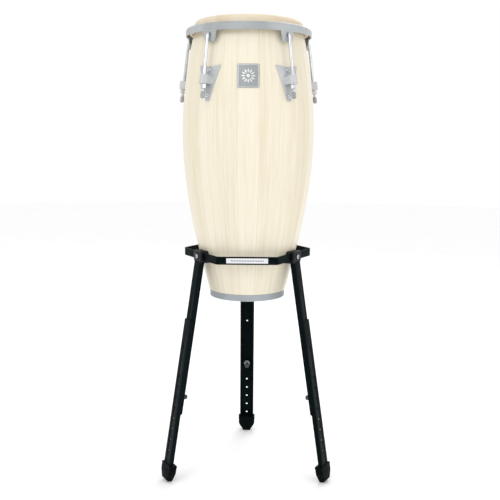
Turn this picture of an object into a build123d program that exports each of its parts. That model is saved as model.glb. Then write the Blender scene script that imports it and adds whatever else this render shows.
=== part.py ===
"""Conga drum on a three-legged basket stand, in millimetres.

The origin is on the floor under the drum's axis, +Z is up and -Y is the front.
Heights passed to shell_radius() and to the drum's profiles are measured from the
drum's lower end, and those of the stand's ring and clamps from the floor.
Repeated pieces are drawn once on the +X side and then turned about the Z axis.
"""

import os
from math import atan, atan2, cos, hypot, radians, sin, tan

from build123d import *

os.makedirs("parts", exist_ok=True)

# ---------------------------------------------------------------- drum shell
DRUM_BASE = 483.5          # lower end of the shell above the floor
SHELL_TOP = 716.5          # bearing edge above the shell's lower end
SHELL_SHOULDER = 704.0     # where the side starts to round over to the bearing edge
SHELL_WALL = 11.0
BELLY_RADIUS = 172.7
BELLY_HEIGHT = 437.0
LOWER_SLOPE, LOWER_BEND = 0.377, 143.0   # the side straightens to this slope below the belly
UPPER_SLOPE, UPPER_BEND = 0.30, 79.0     # and to this one above it
BEARING_RADIUS = 126.5     # inner end of the rounded bearing edge
BEARING_FLAT, INNER_EDGE_DROP = 1.5, 2.0   # flat on top of the edge, and where its inner slope ends
SKIN_GAP = 0.08            # between the shell and what lies on its curved face
STAVES = 20
BAND_HEIGHT = 18.0
BAND_INNER_RADIUS = 97.5
BAND_OUTER_RADIUS = 100.8
BAND_EDGE = 1.2

# ---------------------------------------------------------------- used throughout
CUT_MARGIN = 5.0           # how far a cutting tool reaches past what it cuts
BOLT_CLEARANCE = 0.3       # between a bolt and its hole
FACE_GAP = 0.1             # between two pieces that touch but also move or turn
SECTOR = 40.0              # part of a full turn that a curved plate is cut from

# ---------------------------------------------------------------- head and rim
HEAD_THICKNESS = 2.0
HEAD_TUCK_HEIGHT = 688.0   # lower edge of the head's side, where it meets the flesh hoop
HOOP_RING_RADIUS = 149.5
HOOP_HEIGHT = 687.4
HOOP_ROD_RADIUS = 4.0
HEAD_WRAP = 1.8            # thickness of the skin where it is tucked round the hoop
RIM_OUTER_RADIUS = 162.8
RIM_LIP_RADIUS = 145.0
RIM_BOTTOM, RIM_TOP = 677.7, 698.0
RIM_SHEET = 3.0
RIM_CORNER = 8.0
EAR_TOP_WIDTH, EAR_BOTTOM_WIDTH = 40.0, 29.0
EAR_BOTTOM = 652.0
EAR_CORNER, EAR_HOLE_RADIUS = 6.0, 4.5

# ---------------------------------------------------------------- tuning lugs
LUGS = 5
LUG_ANGLES = [-54 + 360 / LUGS * turn for turn in range(LUGS)]
HOOK_ROD_RADIUS = 4.0
HOOK_TIP_RADIUS, HOOK_TIP_HEIGHT = 152.3, 678.0
HOOK_ARM_HEIGHT, HOOK_BEND = 670.0, 5.0
HOOK_ELBOW_RADIUS = 168.5      # distance of the elbow from the drum's axis
NUT_SEAT_RADIUS = 185.3        # distance of the rod from the drum's axis at the nut
NUT_SEAT_HEIGHT = 550.0
HOOK_TAIL_HEIGHT, HOOK_TAIL_CHAMFER = 518.0, 1.2
TAIL_CAP_RADIUS, TAIL_CAP_START, TAIL_CAP_END = 5.2, 19.0, 35.5   # down the rod from the seat
TAIL_CAP_BORE_RADIUS, TAIL_CAP_BORE_END, TAIL_CAP_EDGE = 4.05, 32.6, 2.5
NUT_ACROSS_FLATS, NUT_HEIGHT = 12.7, 11.0
NUT_BORE_RADIUS, NUT_CORNER_RADIUS = 4.35, 7.25
WASHER_RADIUS, WASHER_BORE_RADIUS, WASHER_THICKNESS = 11.0, 4.75, 2.0
WASHER_DROP, WASHER_EDGE = 0.5, 0.6        # how far its lower face lies below the seat
RECEIVER_WIDTH, RECEIVER_HEIGHT, RECEIVER_BORE_RADIUS = 22.0, 20.0, 5.0
PLATE_TOP_WIDTH, PLATE_TIP_WIDTH = 67.0, 11.0
PLATE_TOP, PLATE_TIP, PLATE_DIP = 598.0, 510.0, 5.0
PLATE_THICKNESS = 2.8
PLATE_TIP_CORNER, PLATE_TOP_CORNER = 5.0, 2.5
PLATE_BOLT_HEIGHTS = (584.0, 523.0)
PLATE_BOLT_RADIUS = 3.0
PLATE_BOLT_REACH = 9.0                     # past the inner face of the shell
PLATE_BOLT_HEAD_RADIUS, PLATE_BOLT_HEAD_HEIGHT, PLATE_BOLT_DOME = 5.4, 3.2, 2.4
PLATE_WASHER_RADIUS, PLATE_WASHER_THICKNESS = 8.0, 1.5
PLATE_WASHER_DEPTH = 0.5                   # under the shell's curved inner face
PLATE_NUT_FLATS, PLATE_NUT_HEIGHT = 10.0, 5.0

# ---------------------------------------------------------------- badge
BADGE_WIDTH, BADGE_BOTTOM, BADGE_TOP = 53.7, 540.0, 597.5
BADGE_THICKNESS, BADGE_CORNER = 1.2, 3.0

# ---------------------------------------------------------------- stand ring
STRAP_BOTTOM, STRAP_TOP = DRUM_BASE + 106.0, DRUM_BASE + 126.0
STRAP_SHEET = 3.0
STRAP_LEG_APOTHEM = 143.5      # outer face of the three flats that carry legs
STRAP_FREE_APOTHEM = 154.7     # outer face of the three flats between them
STRAP_BEND = 12.0
STRAP_HOLE_SPACING = 27.0      # small holes on both sides of each leg
STRAP_HOLE_RADIUS = 2.5
LABEL_WIDTH, LABEL_HEIGHT, LABEL_THICKNESS, LABEL_CORNER = 105.0, 12.8, 0.5, 1.0

# ---------------------------------------------------------------- legs
LEG_NAMES = {"back": 90, "front_left": 210, "front_right": 330}
LEG_SPLAY = 9.37               # degrees from the vertical
LEG_RADIUS = 166.2             # upper leg's outer face, level with the drum's lower end
UPPER_WIDTH, UPPER_DEPTH = 30.4, 10.8
LOWER_WIDTH, LOWER_DEPTH = 36.0, 8.0
LEG_SHEET = 2.4
LEG_PLAY = 0.3                 # between the two sliding channels
UPPER_TOP, UPPER_END = -123.0, 307.0       # distances down the leg from the drum's lower end
FLANGE_TOP = -105.0                        # the upper leg's flanges stop below the strap
LOWER_TOP, LOWER_END = 52.0, 478.0
PIN_PLACE = 261.0
HOLE_PITCH = 28.5
HOLES_ABOVE_PIN, HOLES_BELOW_PIN = 2, 6
GUIDE_HOLE_PLACE = 123.0
LEG_HOLE_RADIUS = 2.9
CHANNEL_CORNER = 6.0           # rounding of the channels' free ends

# ---------------------------------------------------------------- clamps that hold ring and legs
CLAMP_WIDTH = 45.0
CLAMP_BOTTOM, CLAMP_TOP = DRUM_BASE + 98.0, DRUM_BASE + 130.0
CLAMP_OUTER_RADIUS = 151.5
CLAMP_CORNER, CLAMP_EDGE = 5.0, 3.0
CLAMP_PLAY = 0.2               # between a clamp and the leg inside it
PAD_GAP = 0.3                  # between the rest pads and the shell
PAD_DEPTH = 22.0
PAD_LOW, PAD_HIGH = 80.0, 150.0            # stretch of the shell that shapes the pads
CLAMP_BOLT_HEIGHT = DRUM_BASE + 115.0
CLAMP_BOLT_RADIUS, CLAMP_BOLT_REACH = 3.0, 6.0     # the reach is past the nut's seat
CLAMP_BOLT_HEAD_RADIUS, CLAMP_BOLT_HEAD_HEIGHT, CLAMP_BOLT_DOME = 6.2, 4.0, 1.5
CLAMP_SOCKET_FLATS, CLAMP_SOCKET_DEPTH = 4.0, 2.4
CLAMP_NUT_SEAT = 138.0
CLAMP_NUT_FLATS, CLAMP_NUT_HEIGHT, CLAMP_NUT_ROOM = 10.0, 5.0, 0.2

# ---------------------------------------------------------------- locking pins
PIN_RADIUS, PIN_TIP_ROUNDING = 2.6, 1.0
PIN_TIP = 3.5                  # how far the pin reaches past the upper leg's outer face
COLLAR_RADIUS, COLLAR_GAP, COLLAR_THICKNESS = 4.7, 0.4, 1.6
BARREL_RADIUS, BARREL_BORE_RADIUS = 6.2, 5.0
BARREL_END, BARREL_END_WALL = -14.5, 2.0
BARREL_FLANGE_RADIUS, BARREL_FLANGE_THICKNESS = 8.7, 2.0
KNOB_RADIUS, KNOB_START, KNOB_END = 6.4, -15.5, -26.0
KNOB_SOCKET_DEPTH, KNOB_DOME, KNOB_CHAMFER = 5.0, 2.5, 0.8
SPRING_WIRE_RADIUS, SPRING_RADIUS, SPRING_TURNS = 0.4, 4.1, 3

# ---------------------------------------------------------------- feet
BOOT_WIDTH, BOOT_TOP = 48.5, 442.0
BOOT_INNER, BOOT_OUTER = -14.0, 7.0        # from the upper leg's outer face
BOOT_SHOULDER, BOOT_TIP = 463.0, 497.0     # where the boot starts to narrow, and where it ends
BOOT_TIP_WIDTH = 9.0
BOOT_TOP_CORNER, BOOT_SHOULDER_CORNER, BOOT_EDGE = 5.0, 16.0, 2.0
BOOT_CUT_RADIUS = 242.0        # outer end of the face that stands on the floor


def shell_radius(height):
    """Outer radius of the shell: a hyperbola on each side of the belly."""
    below = height < BELLY_HEIGHT
    slope, bend = (LOWER_SLOPE, LOWER_BEND) if below else (UPPER_SLOPE, UPPER_BEND)
    return BELLY_RADIUS + bend - hypot(bend, slope * (height - BELLY_HEIGHT))


def shell_line(shift, low, high, spans=16):
    """Points of the shell's side, moved outwards by shift, from low to high."""
    heights = [low + (high - low) * step / spans for step in range(spans + 1)]
    return [(shell_radius(height) + shift, height) for height in heights]


def on_shell(height, shift=0.0):
    """Plane on the shell's +X side, with its normal pointing straight out of the wood."""
    steepness = (shell_radius(height + 1) - shell_radius(height - 1)) / 2
    normal = Vector(1, 0, -steepness).normalized()
    foot = Vector(shell_radius(height), 0, DRUM_BASE + height)
    return Plane(origin=foot + normal * shift, x_dir=(0, 1, 0), z_dir=normal)


def turned(piece, angle):
    """The piece turned about the drum's axis."""
    return Rot(0, 0, angle) * piece


def around(piece, angles):
    """Separate copies of the piece about the drum's axis, as one group."""
    return Compound(children=[turned(piece, angle) for angle in angles])


def save(shape, name):
    """Label a finished node and write its STEP file."""
    shape.label = name
    export_step(shape, f"parts/{name}.step")


def drum_section(angle):
    """Half section of the drum at an angle: x is the distance from its axis, y the height."""
    turn = radians(angle)
    return Plane(origin=(0, 0, DRUM_BASE), x_dir=(cos(turn), sin(turn), 0), z_dir=(sin(turn), -cos(turn), 0))


drum_side = drum_section(0)
# The rod of a tuning hook, seen from its nut: z points down the rod.
lean = atan((NUT_SEAT_RADIUS - HOOK_ELBOW_RADIUS) / (HOOK_ARM_HEIGHT - NUT_SEAT_HEIGHT))
hook_axis = Plane(
    origin=(NUT_SEAT_RADIUS, 0, DRUM_BASE + NUT_SEAT_HEIGHT),
    x_dir=(cos(lean), 0, sin(lean)),
    z_dir=(sin(lean), 0, -cos(lean)),
)
# A leg: x points out of the upper leg's outer face and z down the leg.
splay = radians(LEG_SPLAY)
leg_out = Vector(cos(splay), 0, sin(splay))
leg_down = Vector(sin(splay), 0, -cos(splay))
leg_origin = Vector(LEG_RADIUS, 0, DRUM_BASE)


def across_leg(place):
    """Plane square to the leg, at a distance down it."""
    return Plane(origin=leg_origin + leg_down * place, x_dir=leg_out, z_dir=leg_down)


def through_leg(place, depth=0.0):
    """Plane of the leg's outer face, moved out by depth, at a distance down the leg."""
    return Plane(origin=leg_origin + leg_down * place + leg_out * depth, x_dir=leg_down, z_dir=leg_out)


# ================================================================ drum: shell
with BuildPart() as stave:
    with BuildSketch(drum_side):
        with BuildLine():
            outside = Spline(*shell_line(0, BAND_HEIGHT, SHELL_SHOULDER))
            shoulder = TangentArc(outside @ 1, (BEARING_RADIUS, SHELL_TOP), tangent=outside % 1)
            inside = Spline(*shell_line(-SHELL_WALL, 0, SHELL_TOP - INNER_EDGE_DROP))
            Polyline(shoulder @ 1, (BEARING_RADIUS - BEARING_FLAT, SHELL_TOP), inside @ 1)
            Polyline(
                inside @ 0,
                (BAND_INNER_RADIUS - SKIN_GAP, 0),
                (BAND_INNER_RADIUS - SKIN_GAP, BAND_HEIGHT),
                outside @ 0,
            )
        make_face()
    revolve(axis=Axis.Z, revolution_arc=360 / STAVES)

half_stave = 180 / STAVES
plain_stave = turned(stave.part, -half_stave)
with BuildPart() as drilled_stave:
    add(plain_stave)
    for bolt_height in PLATE_BOLT_HEIGHTS:
        with BuildSketch(on_shell(bolt_height, CUT_MARGIN)):
            Circle(PLATE_BOLT_RADIUS + BOLT_CLEARANCE)
        extrude(amount=-(SHELL_WALL + 2 * CUT_MARGIN), mode=Mode.SUBTRACT)

drilled = {round(angle) % 360 for angle in LUG_ANGLES}
stave_angles = [LUG_ANGLES[0] + 360 / STAVES * turn for turn in range(STAVES)]
shell = Compound(children=[
    turned(drilled_stave.part if round(angle) % 360 in drilled else plain_stave, angle)
    for angle in stave_angles
])
save(shell, "shell_staves")

with BuildPart() as bottom_band:
    with BuildSketch(Plane.XY.offset(DRUM_BASE)):
        Circle(BAND_OUTER_RADIUS)
        Circle(BAND_INNER_RADIUS, mode=Mode.SUBTRACT)
    extrude(amount=BAND_HEIGHT)
    outer_edges = bottom_band.edges().filter_by(GeomType.CIRCLE).group_by(SortBy.RADIUS)[-1]
    fillet(outer_edges, radius=BAND_EDGE)
save(bottom_band.part, "bottom_band")

# ================================================================ drum: head, flesh hoop and rim
with BuildPart() as head_skin:
    with BuildSketch(drum_side):
        with BuildLine():
            side = shell_line(SKIN_GAP, HEAD_TUCK_HEIGHT, SHELL_SHOULDER, spans=2)
            inner_side = Spline(*side)
            inner_edge = TangentArc(
                inner_side @ 1, (BEARING_RADIUS, SHELL_TOP + SKIN_GAP), tangent=inner_side % 1
            )
            outer_side = Spline(*[(radius + HEAD_THICKNESS, height) for radius, height in side])
            outer_edge = TangentArc(
                outer_side @ 1,
                (BEARING_RADIUS, SHELL_TOP + HEAD_THICKNESS),
                tangent=outer_side % 1,
            )
            Line(inner_side @ 0, outer_side @ 0)
            Polyline(
                inner_edge @ 1,
                (0, SHELL_TOP + SKIN_GAP),
                (0, SHELL_TOP + HEAD_THICKNESS),
                outer_edge @ 1,
            )
        make_face()
        with Locations((HOOP_RING_RADIUS, HOOP_HEIGHT)):
            Circle(HOOP_ROD_RADIUS + HEAD_WRAP)
            Circle(HOOP_ROD_RADIUS, mode=Mode.SUBTRACT)
    revolve(axis=Axis.Z)
save(head_skin.part, "head_skin")

with BuildPart() as flesh_hoop:
    with BuildSketch(drum_side):
        with Locations((HOOP_RING_RADIUS, HOOP_HEIGHT)):
            Circle(HOOP_ROD_RADIUS)
    revolve(axis=Axis.Z)
save(flesh_hoop.part, "flesh_hoop")

with BuildPart() as rim:
    with BuildSketch(drum_side):
        with BuildLine():
            Polyline(
                (RIM_OUTER_RADIUS, RIM_BOTTOM),
                (RIM_OUTER_RADIUS, RIM_TOP),
                (RIM_LIP_RADIUS, RIM_TOP),
                (RIM_LIP_RADIUS, RIM_TOP - RIM_SHEET),
                (RIM_OUTER_RADIUS - RIM_SHEET, RIM_TOP - RIM_SHEET),
                (RIM_OUTER_RADIUS - RIM_SHEET, RIM_BOTTOM),
                close=True,
            )
        make_face()
        corners = vertices().group_by(Axis.X)
        fillet(corners[-1].sort_by(Axis.Y)[-1], radius=RIM_CORNER)
        fillet(corners[-2].sort_by(Axis.Y)[-1], radius=RIM_CORNER - RIM_SHEET)
    revolve(axis=Axis.Z)
save(rim.part, "rim")

with BuildPart() as rim_ear:
    with BuildSketch(drum_section(-SECTOR / 2)):
        with Locations((RIM_OUTER_RADIUS - RIM_SHEET / 2, (RIM_BOTTOM + EAR_BOTTOM) / 2)):
            Rectangle(RIM_SHEET, RIM_BOTTOM - EAR_BOTTOM)
    revolve(axis=Axis.Z, revolution_arc=SECTOR)
    with BuildSketch(Plane.YZ.offset(RIM_OUTER_RADIUS / 2)):
        with BuildLine():
            Polyline(
                (EAR_TOP_WIDTH / 2, DRUM_BASE + RIM_BOTTOM),
                (EAR_BOTTOM_WIDTH / 2, DRUM_BASE + EAR_BOTTOM),
                (-EAR_BOTTOM_WIDTH / 2, DRUM_BASE + EAR_BOTTOM),
                (-EAR_TOP_WIDTH / 2, DRUM_BASE + RIM_BOTTOM),
                close=True,
            )
        make_face()
        fillet(vertices().group_by(Axis.Y)[0], radius=EAR_CORNER)
        with Locations((0, DRUM_BASE + HOOK_ARM_HEIGHT)):
            Circle(EAR_HOLE_RADIUS, mode=Mode.SUBTRACT)
    extrude(amount=RIM_OUTER_RADIUS, mode=Mode.INTERSECT)
save(around(rim_ear.part, LUG_ANGLES), "rim_ears")

# ================================================================ drum: tuning lugs
tail_radius = NUT_SEAT_RADIUS + (NUT_SEAT_HEIGHT - HOOK_TAIL_HEIGHT) * tan(lean)
with BuildPart() as hook:
    with BuildLine(drum_side) as hook_line:
        FilletPolyline(
            (HOOK_TIP_RADIUS, HOOK_TIP_HEIGHT),
            (HOOK_TIP_RADIUS, HOOK_ARM_HEIGHT),
            (HOOK_ELBOW_RADIUS, HOOK_ARM_HEIGHT),
            (tail_radius, HOOK_TAIL_HEIGHT),
            radius=HOOK_BEND,
        )
    with BuildSketch(Plane(origin=hook_line.line @ 0, z_dir=hook_line.line % 0)):
        Circle(HOOK_ROD_RADIUS)
    sweep()
    chamfer(hook.faces().sort_by(Axis.Z)[0].edges(), length=HOOK_TAIL_CHAMFER)
save(around(hook.part, LUG_ANGLES), "tuning_hooks")

with BuildPart() as tail_cap:
    with BuildSketch(hook_axis.offset(TAIL_CAP_START)):
        Circle(TAIL_CAP_RADIUS)
    extrude(amount=TAIL_CAP_END - TAIL_CAP_START)
    fillet(tail_cap.faces().sort_by(Axis.Z)[0].edges(), radius=TAIL_CAP_EDGE)
    with BuildSketch(hook_axis.offset(TAIL_CAP_START)):
        Circle(TAIL_CAP_BORE_RADIUS)
    extrude(amount=TAIL_CAP_BORE_END - TAIL_CAP_START, mode=Mode.SUBTRACT)
save(around(tail_cap.part, LUG_ANGLES), "hook_tail_caps")

plate_outline = [
    (PLATE_TOP_WIDTH / 2, DRUM_BASE + PLATE_TOP),
    (PLATE_TIP_WIDTH / 2, DRUM_BASE + PLATE_TIP),
    (-PLATE_TIP_WIDTH / 2, DRUM_BASE + PLATE_TIP),
    (-PLATE_TOP_WIDTH / 2, DRUM_BASE + PLATE_TOP),
]
with BuildPart() as side_plate:
    with BuildSketch(drum_section(-SECTOR / 2)):
        with BuildLine():
            inner = Spline(*shell_line(SKIN_GAP, PLATE_TIP - CUT_MARGIN, PLATE_TOP + CUT_MARGIN, 4))
            outer = Spline(*shell_line(PLATE_THICKNESS, PLATE_TIP - CUT_MARGIN, PLATE_TOP + CUT_MARGIN, 4))
            Line(inner @ 0, outer @ 0)
            Line(inner @ 1, outer @ 1)
        make_face()
    revolve(axis=Axis.Z, revolution_arc=SECTOR)
    with BuildSketch(Plane.YZ.offset(BELLY_RADIUS / 2)):
        with BuildLine():
            sides = Polyline(*plate_outline)
            ThreePointArc(sides @ 1, (0, DRUM_BASE + PLATE_TOP - PLATE_DIP), sides @ 0)
        make_face()
        fillet(vertices().group_by(Axis.Y)[0], radius=PLATE_TIP_CORNER)
        fillet(vertices().group_by(Axis.Y)[-1], radius=PLATE_TOP_CORNER)
    extrude(amount=BELLY_RADIUS, mode=Mode.INTERSECT)
    for bolt_height in PLATE_BOLT_HEIGHTS:
        with BuildSketch(on_shell(bolt_height, PLATE_THICKNESS + CUT_MARGIN)):
            Circle(PLATE_BOLT_RADIUS + BOLT_CLEARANCE)
        extrude(amount=-(PLATE_THICKNESS + 2 * CUT_MARGIN), mode=Mode.SUBTRACT)
save(around(side_plate.part, LUG_ANGLES), "side_plates")

receiver_seat = WASHER_THICKNESS - WASHER_DROP
with BuildPart() as receiver:
    with BuildSketch(hook_axis.offset(-receiver_seat)):
        Circle(RECEIVER_WIDTH / 2)
        with Locations((-RECEIVER_WIDTH / 2, 0)):
            Rectangle(RECEIVER_WIDTH, RECEIVER_WIDTH)
        Circle(RECEIVER_BORE_RADIUS, mode=Mode.SUBTRACT)
    extrude(amount=-RECEIVER_HEIGHT)
    with BuildSketch(drum_side):
        with BuildLine():
            face = Spline(*shell_line(PLATE_THICKNESS + SKIN_GAP, PLATE_TIP, PLATE_TOP, spans=4))
            Polyline(face @ 1, (0, PLATE_TOP), (0, PLATE_TIP), face @ 0)
        make_face()
    revolve(axis=Axis.Z, mode=Mode.SUBTRACT)
save(around(receiver.part, LUG_ANGLES), "lug_receivers")

with BuildPart() as hook_washer:
    with BuildSketch(hook_axis.offset(-receiver_seat)):
        Circle(WASHER_RADIUS)
        Circle(WASHER_BORE_RADIUS, mode=Mode.SUBTRACT)
    extrude(amount=WASHER_THICKNESS)
    fillet(hook_washer.faces().sort_by(Axis.Z)[0].outer_wire().edges(), radius=WASHER_EDGE)
save(around(hook_washer.part, LUG_ANGLES), "hook_washers")

nut_start = WASHER_DROP + FACE_GAP
with BuildPart() as tuning_nut:
    with BuildSketch(hook_axis.offset(nut_start)):
        RegularPolygon(NUT_ACROSS_FLATS / 2, 6, major_radius=False)
        Circle(NUT_BORE_RADIUS, mode=Mode.SUBTRACT)
    extrude(amount=NUT_HEIGHT)
    with BuildSketch(hook_axis.offset(nut_start)):
        Circle(NUT_CORNER_RADIUS)
    extrude(amount=NUT_HEIGHT, mode=Mode.INTERSECT)
for number, angle in enumerate(LUG_ANGLES, start=1):
    save(turned(tuning_nut.part, angle), f"tuning_nut_{number}")

bolts, washers, nuts = [], [], []
for bolt_height in PLATE_BOLT_HEIGHTS:
    with BuildPart() as plate_bolt:
        with BuildSketch(on_shell(bolt_height, PLATE_THICKNESS + FACE_GAP)):
            Circle(PLATE_BOLT_RADIUS)
        extrude(amount=-(PLATE_THICKNESS + SHELL_WALL + PLATE_BOLT_REACH))
        with BuildSketch(on_shell(bolt_height, PLATE_THICKNESS + FACE_GAP)):
            Circle(PLATE_BOLT_HEAD_RADIUS)
        extrude(amount=PLATE_BOLT_HEAD_HEIGHT)
        fillet(plate_bolt.faces().sort_by(Axis.X)[-1].edges(), radius=PLATE_BOLT_DOME)
    with BuildPart() as plate_washer:
        with BuildSketch(on_shell(bolt_height, -SHELL_WALL - PLATE_WASHER_DEPTH)):
            Circle(PLATE_WASHER_RADIUS)
            Circle(PLATE_BOLT_RADIUS + BOLT_CLEARANCE, mode=Mode.SUBTRACT)
        extrude(amount=-PLATE_WASHER_THICKNESS)
    with BuildPart() as plate_nut:
        with BuildSketch(on_shell(bolt_height, -SHELL_WALL - PLATE_WASHER_DEPTH - PLATE_WASHER_THICKNESS)):
            RegularPolygon(PLATE_NUT_FLATS / 2, 6, major_radius=False)
            Circle(PLATE_BOLT_RADIUS, mode=Mode.SUBTRACT)
        extrude(amount=-PLATE_NUT_HEIGHT)
    bolts += [turned(plate_bolt.part, angle) for angle in LUG_ANGLES]
    washers += [turned(plate_washer.part, angle) for angle in LUG_ANGLES]
    nuts += [turned(plate_nut.part, angle) for angle in LUG_ANGLES]
save(Compound(children=bolts), "plate_bolts")
save(Compound(children=washers), "plate_washers")
save(Compound(children=nuts), "plate_nuts")

# ================================================================ drum: badge
with BuildPart() as badge:
    with BuildSketch(drum_section(-SECTOR / 2)):
        with BuildLine():
            inner = Spline(*shell_line(SKIN_GAP, BADGE_BOTTOM - CUT_MARGIN, BADGE_TOP + CUT_MARGIN, 4))
            outer = Spline(*shell_line(BADGE_THICKNESS, BADGE_BOTTOM - CUT_MARGIN, BADGE_TOP + CUT_MARGIN, 4))
            Line(inner @ 0, outer @ 0)
            Line(inner @ 1, outer @ 1)
        make_face()
    revolve(axis=Axis.Z, revolution_arc=SECTOR)
    with BuildSketch(Plane.YZ.offset(BELLY_RADIUS / 2)):
        with Locations((0, DRUM_BASE + (BADGE_BOTTOM + BADGE_TOP) / 2)):
            RectangleRounded(BADGE_WIDTH, BADGE_TOP - BADGE_BOTTOM, radius=BADGE_CORNER)
    extrude(amount=BELLY_RADIUS, mode=Mode.INTERSECT)
save(turned(badge.part, -90), "badge")

# ================================================================ stand: ring
leg_half = (STRAP_FREE_APOTHEM - STRAP_LEG_APOTHEM * cos(radians(60))) / sin(radians(60))
strap_corners = []
for leg_angle in sorted(LEG_NAMES.values()):
    for side in (-1, 1):
        swing = radians(leg_angle) + side * atan2(leg_half, STRAP_LEG_APOTHEM)
        reach = hypot(leg_half, STRAP_LEG_APOTHEM)
        strap_corners.append((reach * cos(swing), reach * sin(swing)))

strap_middle = (STRAP_BOTTOM + STRAP_TOP) / 2
with BuildPart() as ring_strap:
    with BuildSketch(Plane.XY.offset(STRAP_BOTTOM)):
        with BuildLine():
            Polyline(*strap_corners, close=True)
        make_face()
        fillet(vertices(), radius=STRAP_BEND)
        offset(amount=-STRAP_SHEET, mode=Mode.SUBTRACT)
    extrude(amount=STRAP_TOP - STRAP_BOTTOM)
    for leg_angle in LEG_NAMES.values():
        flat = Plane.YZ.offset(STRAP_LEG_APOTHEM + CUT_MARGIN)
        with BuildSketch(Plane(Rot(0, 0, leg_angle) * flat.location)):
            with Locations((0, CLAMP_BOLT_HEIGHT)):
                Circle(CLAMP_BOLT_RADIUS + BOLT_CLEARANCE)
            with Locations((-STRAP_HOLE_SPACING, strap_middle), (STRAP_HOLE_SPACING, strap_middle)):
                Circle(STRAP_HOLE_RADIUS)
        extrude(amount=-STRAP_SHEET - 2 * CUT_MARGIN, mode=Mode.SUBTRACT)
save(ring_strap.part, "ring_strap")

with BuildPart() as ring_label:
    with BuildSketch(Plane.XZ.offset(STRAP_FREE_APOTHEM)):
        with Locations((0, strap_middle)):
            RectangleRounded(LABEL_WIDTH, LABEL_HEIGHT, radius=LABEL_CORNER)
    extrude(amount=LABEL_THICKNESS)
save(ring_label.part, "ring_label")

# ================================================================ stand: upper legs
with BuildPart() as upper_leg:
    with BuildSketch(across_leg(UPPER_TOP)):
        with Locations((-LEG_SHEET / 2, 0)):
            Rectangle(LEG_SHEET, UPPER_WIDTH)
    extrude(amount=UPPER_END - UPPER_TOP)
    with BuildSketch(across_leg(FLANGE_TOP)):
        for side in (-1, 1):
            with Locations((-UPPER_DEPTH / 2, side * (UPPER_WIDTH - LEG_SHEET) / 2)):
                Rectangle(UPPER_DEPTH, LEG_SHEET)
    extrude(amount=UPPER_END - FLANGE_TOP)
    with BuildSketch(through_leg(0, CUT_MARGIN)):
        with Locations((PIN_PLACE, 0), (GUIDE_HOLE_PLACE, 0)):
            Circle(LEG_HOLE_RADIUS)
    extrude(amount=-2 * CUT_MARGIN, mode=Mode.SUBTRACT)
    with BuildSketch(Plane.YZ.offset(CLAMP_OUTER_RADIUS)):
        with Locations((0, CLAMP_BOLT_HEIGHT)):
            Circle(CLAMP_BOLT_RADIUS + BOLT_CLEARANCE)
    extrude(amount=-3 * CUT_MARGIN, mode=Mode.SUBTRACT)
    with BuildSketch(through_leg(0, CUT_MARGIN)):
        with Locations(((UPPER_TOP + UPPER_END) / 2, 0)):
            Rectangle(UPPER_END - UPPER_TOP, UPPER_WIDTH)
        fillet(vertices().group_by(Axis.X)[-1], radius=CHANNEL_CORNER)
    extrude(amount=-2 * UPPER_DEPTH, mode=Mode.INTERSECT)

# ================================================================ stand: lower legs
lower_outer = LEG_PLAY + LEG_SHEET
hole_places = [PIN_PLACE + HOLE_PITCH * step for step in range(-HOLES_ABOVE_PIN, HOLES_BELOW_PIN + 1)]
with BuildPart() as lower_leg:
    with BuildSketch(across_leg(LOWER_TOP)):
        with Locations((lower_outer - LOWER_DEPTH / 2, 0)):
            Rectangle(LOWER_DEPTH, LOWER_WIDTH)
        with Locations((LEG_PLAY - LOWER_DEPTH / 2, 0)):
            Rectangle(LOWER_DEPTH, LOWER_WIDTH - 2 * LEG_SHEET, mode=Mode.SUBTRACT)
    extrude(amount=LOWER_END - LOWER_TOP)
    with BuildSketch(through_leg(0, CUT_MARGIN)):
        with Locations(*[(place, 0) for place in hole_places + [GUIDE_HOLE_PLACE]]):
            Circle(LEG_HOLE_RADIUS)
    extrude(amount=-2 * CUT_MARGIN, mode=Mode.SUBTRACT)
    with BuildSketch(through_leg(0, CUT_MARGIN)):
        with Locations(((LOWER_TOP + LOWER_END) / 2, 0)):
            Rectangle(LOWER_END - LOWER_TOP, LOWER_WIDTH)
        fillet(vertices().group_by(Axis.X)[0], radius=CHANNEL_CORNER)
    extrude(amount=-2 * UPPER_DEPTH, mode=Mode.INTERSECT)

# ================================================================ stand: rubber feet
boot_outline = [
    (BOOT_TOP, BOOT_WIDTH / 2),
    (BOOT_SHOULDER, BOOT_WIDTH / 2),
    (BOOT_TIP, BOOT_TIP_WIDTH / 2),
    (BOOT_TIP, -BOOT_TIP_WIDTH / 2),
    (BOOT_SHOULDER, -BOOT_WIDTH / 2),
    (BOOT_TOP, -BOOT_WIDTH / 2),
]
below_floor = [
    (BOOT_CUT_RADIUS, 0),
    (BOOT_CUT_RADIUS + BOOT_WIDTH, BOOT_WIDTH),
    (BOOT_CUT_RADIUS + BOOT_WIDTH, -BOOT_WIDTH),
    (BOOT_CUT_RADIUS - 2 * BOOT_WIDTH, -BOOT_WIDTH),
    (BOOT_CUT_RADIUS - 2 * BOOT_WIDTH, 0),
]
with BuildPart() as foot:
    with BuildSketch(through_leg(0, BOOT_INNER)):
        with BuildLine():
            Polyline(*boot_outline, close=True)
        make_face()
        fillet(vertices().group_by(Axis.X)[1], radius=BOOT_SHOULDER_CORNER)
        fillet(vertices().group_by(Axis.X)[0], radius=BOOT_TOP_CORNER)
    extrude(amount=BOOT_OUTER - BOOT_INNER)
    outline_edges = foot.edges().filter_by(Axis(leg_origin, leg_out), reverse=True)
    fillet(outline_edges, radius=BOOT_EDGE)
    with BuildSketch(Plane.XZ.offset(-BOOT_WIDTH)):
        with BuildLine():
            Polyline(*below_floor, close=True)
        make_face()
    extrude(amount=2 * BOOT_WIDTH, mode=Mode.SUBTRACT)
    add(lower_leg.part, mode=Mode.SUBTRACT)

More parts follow.
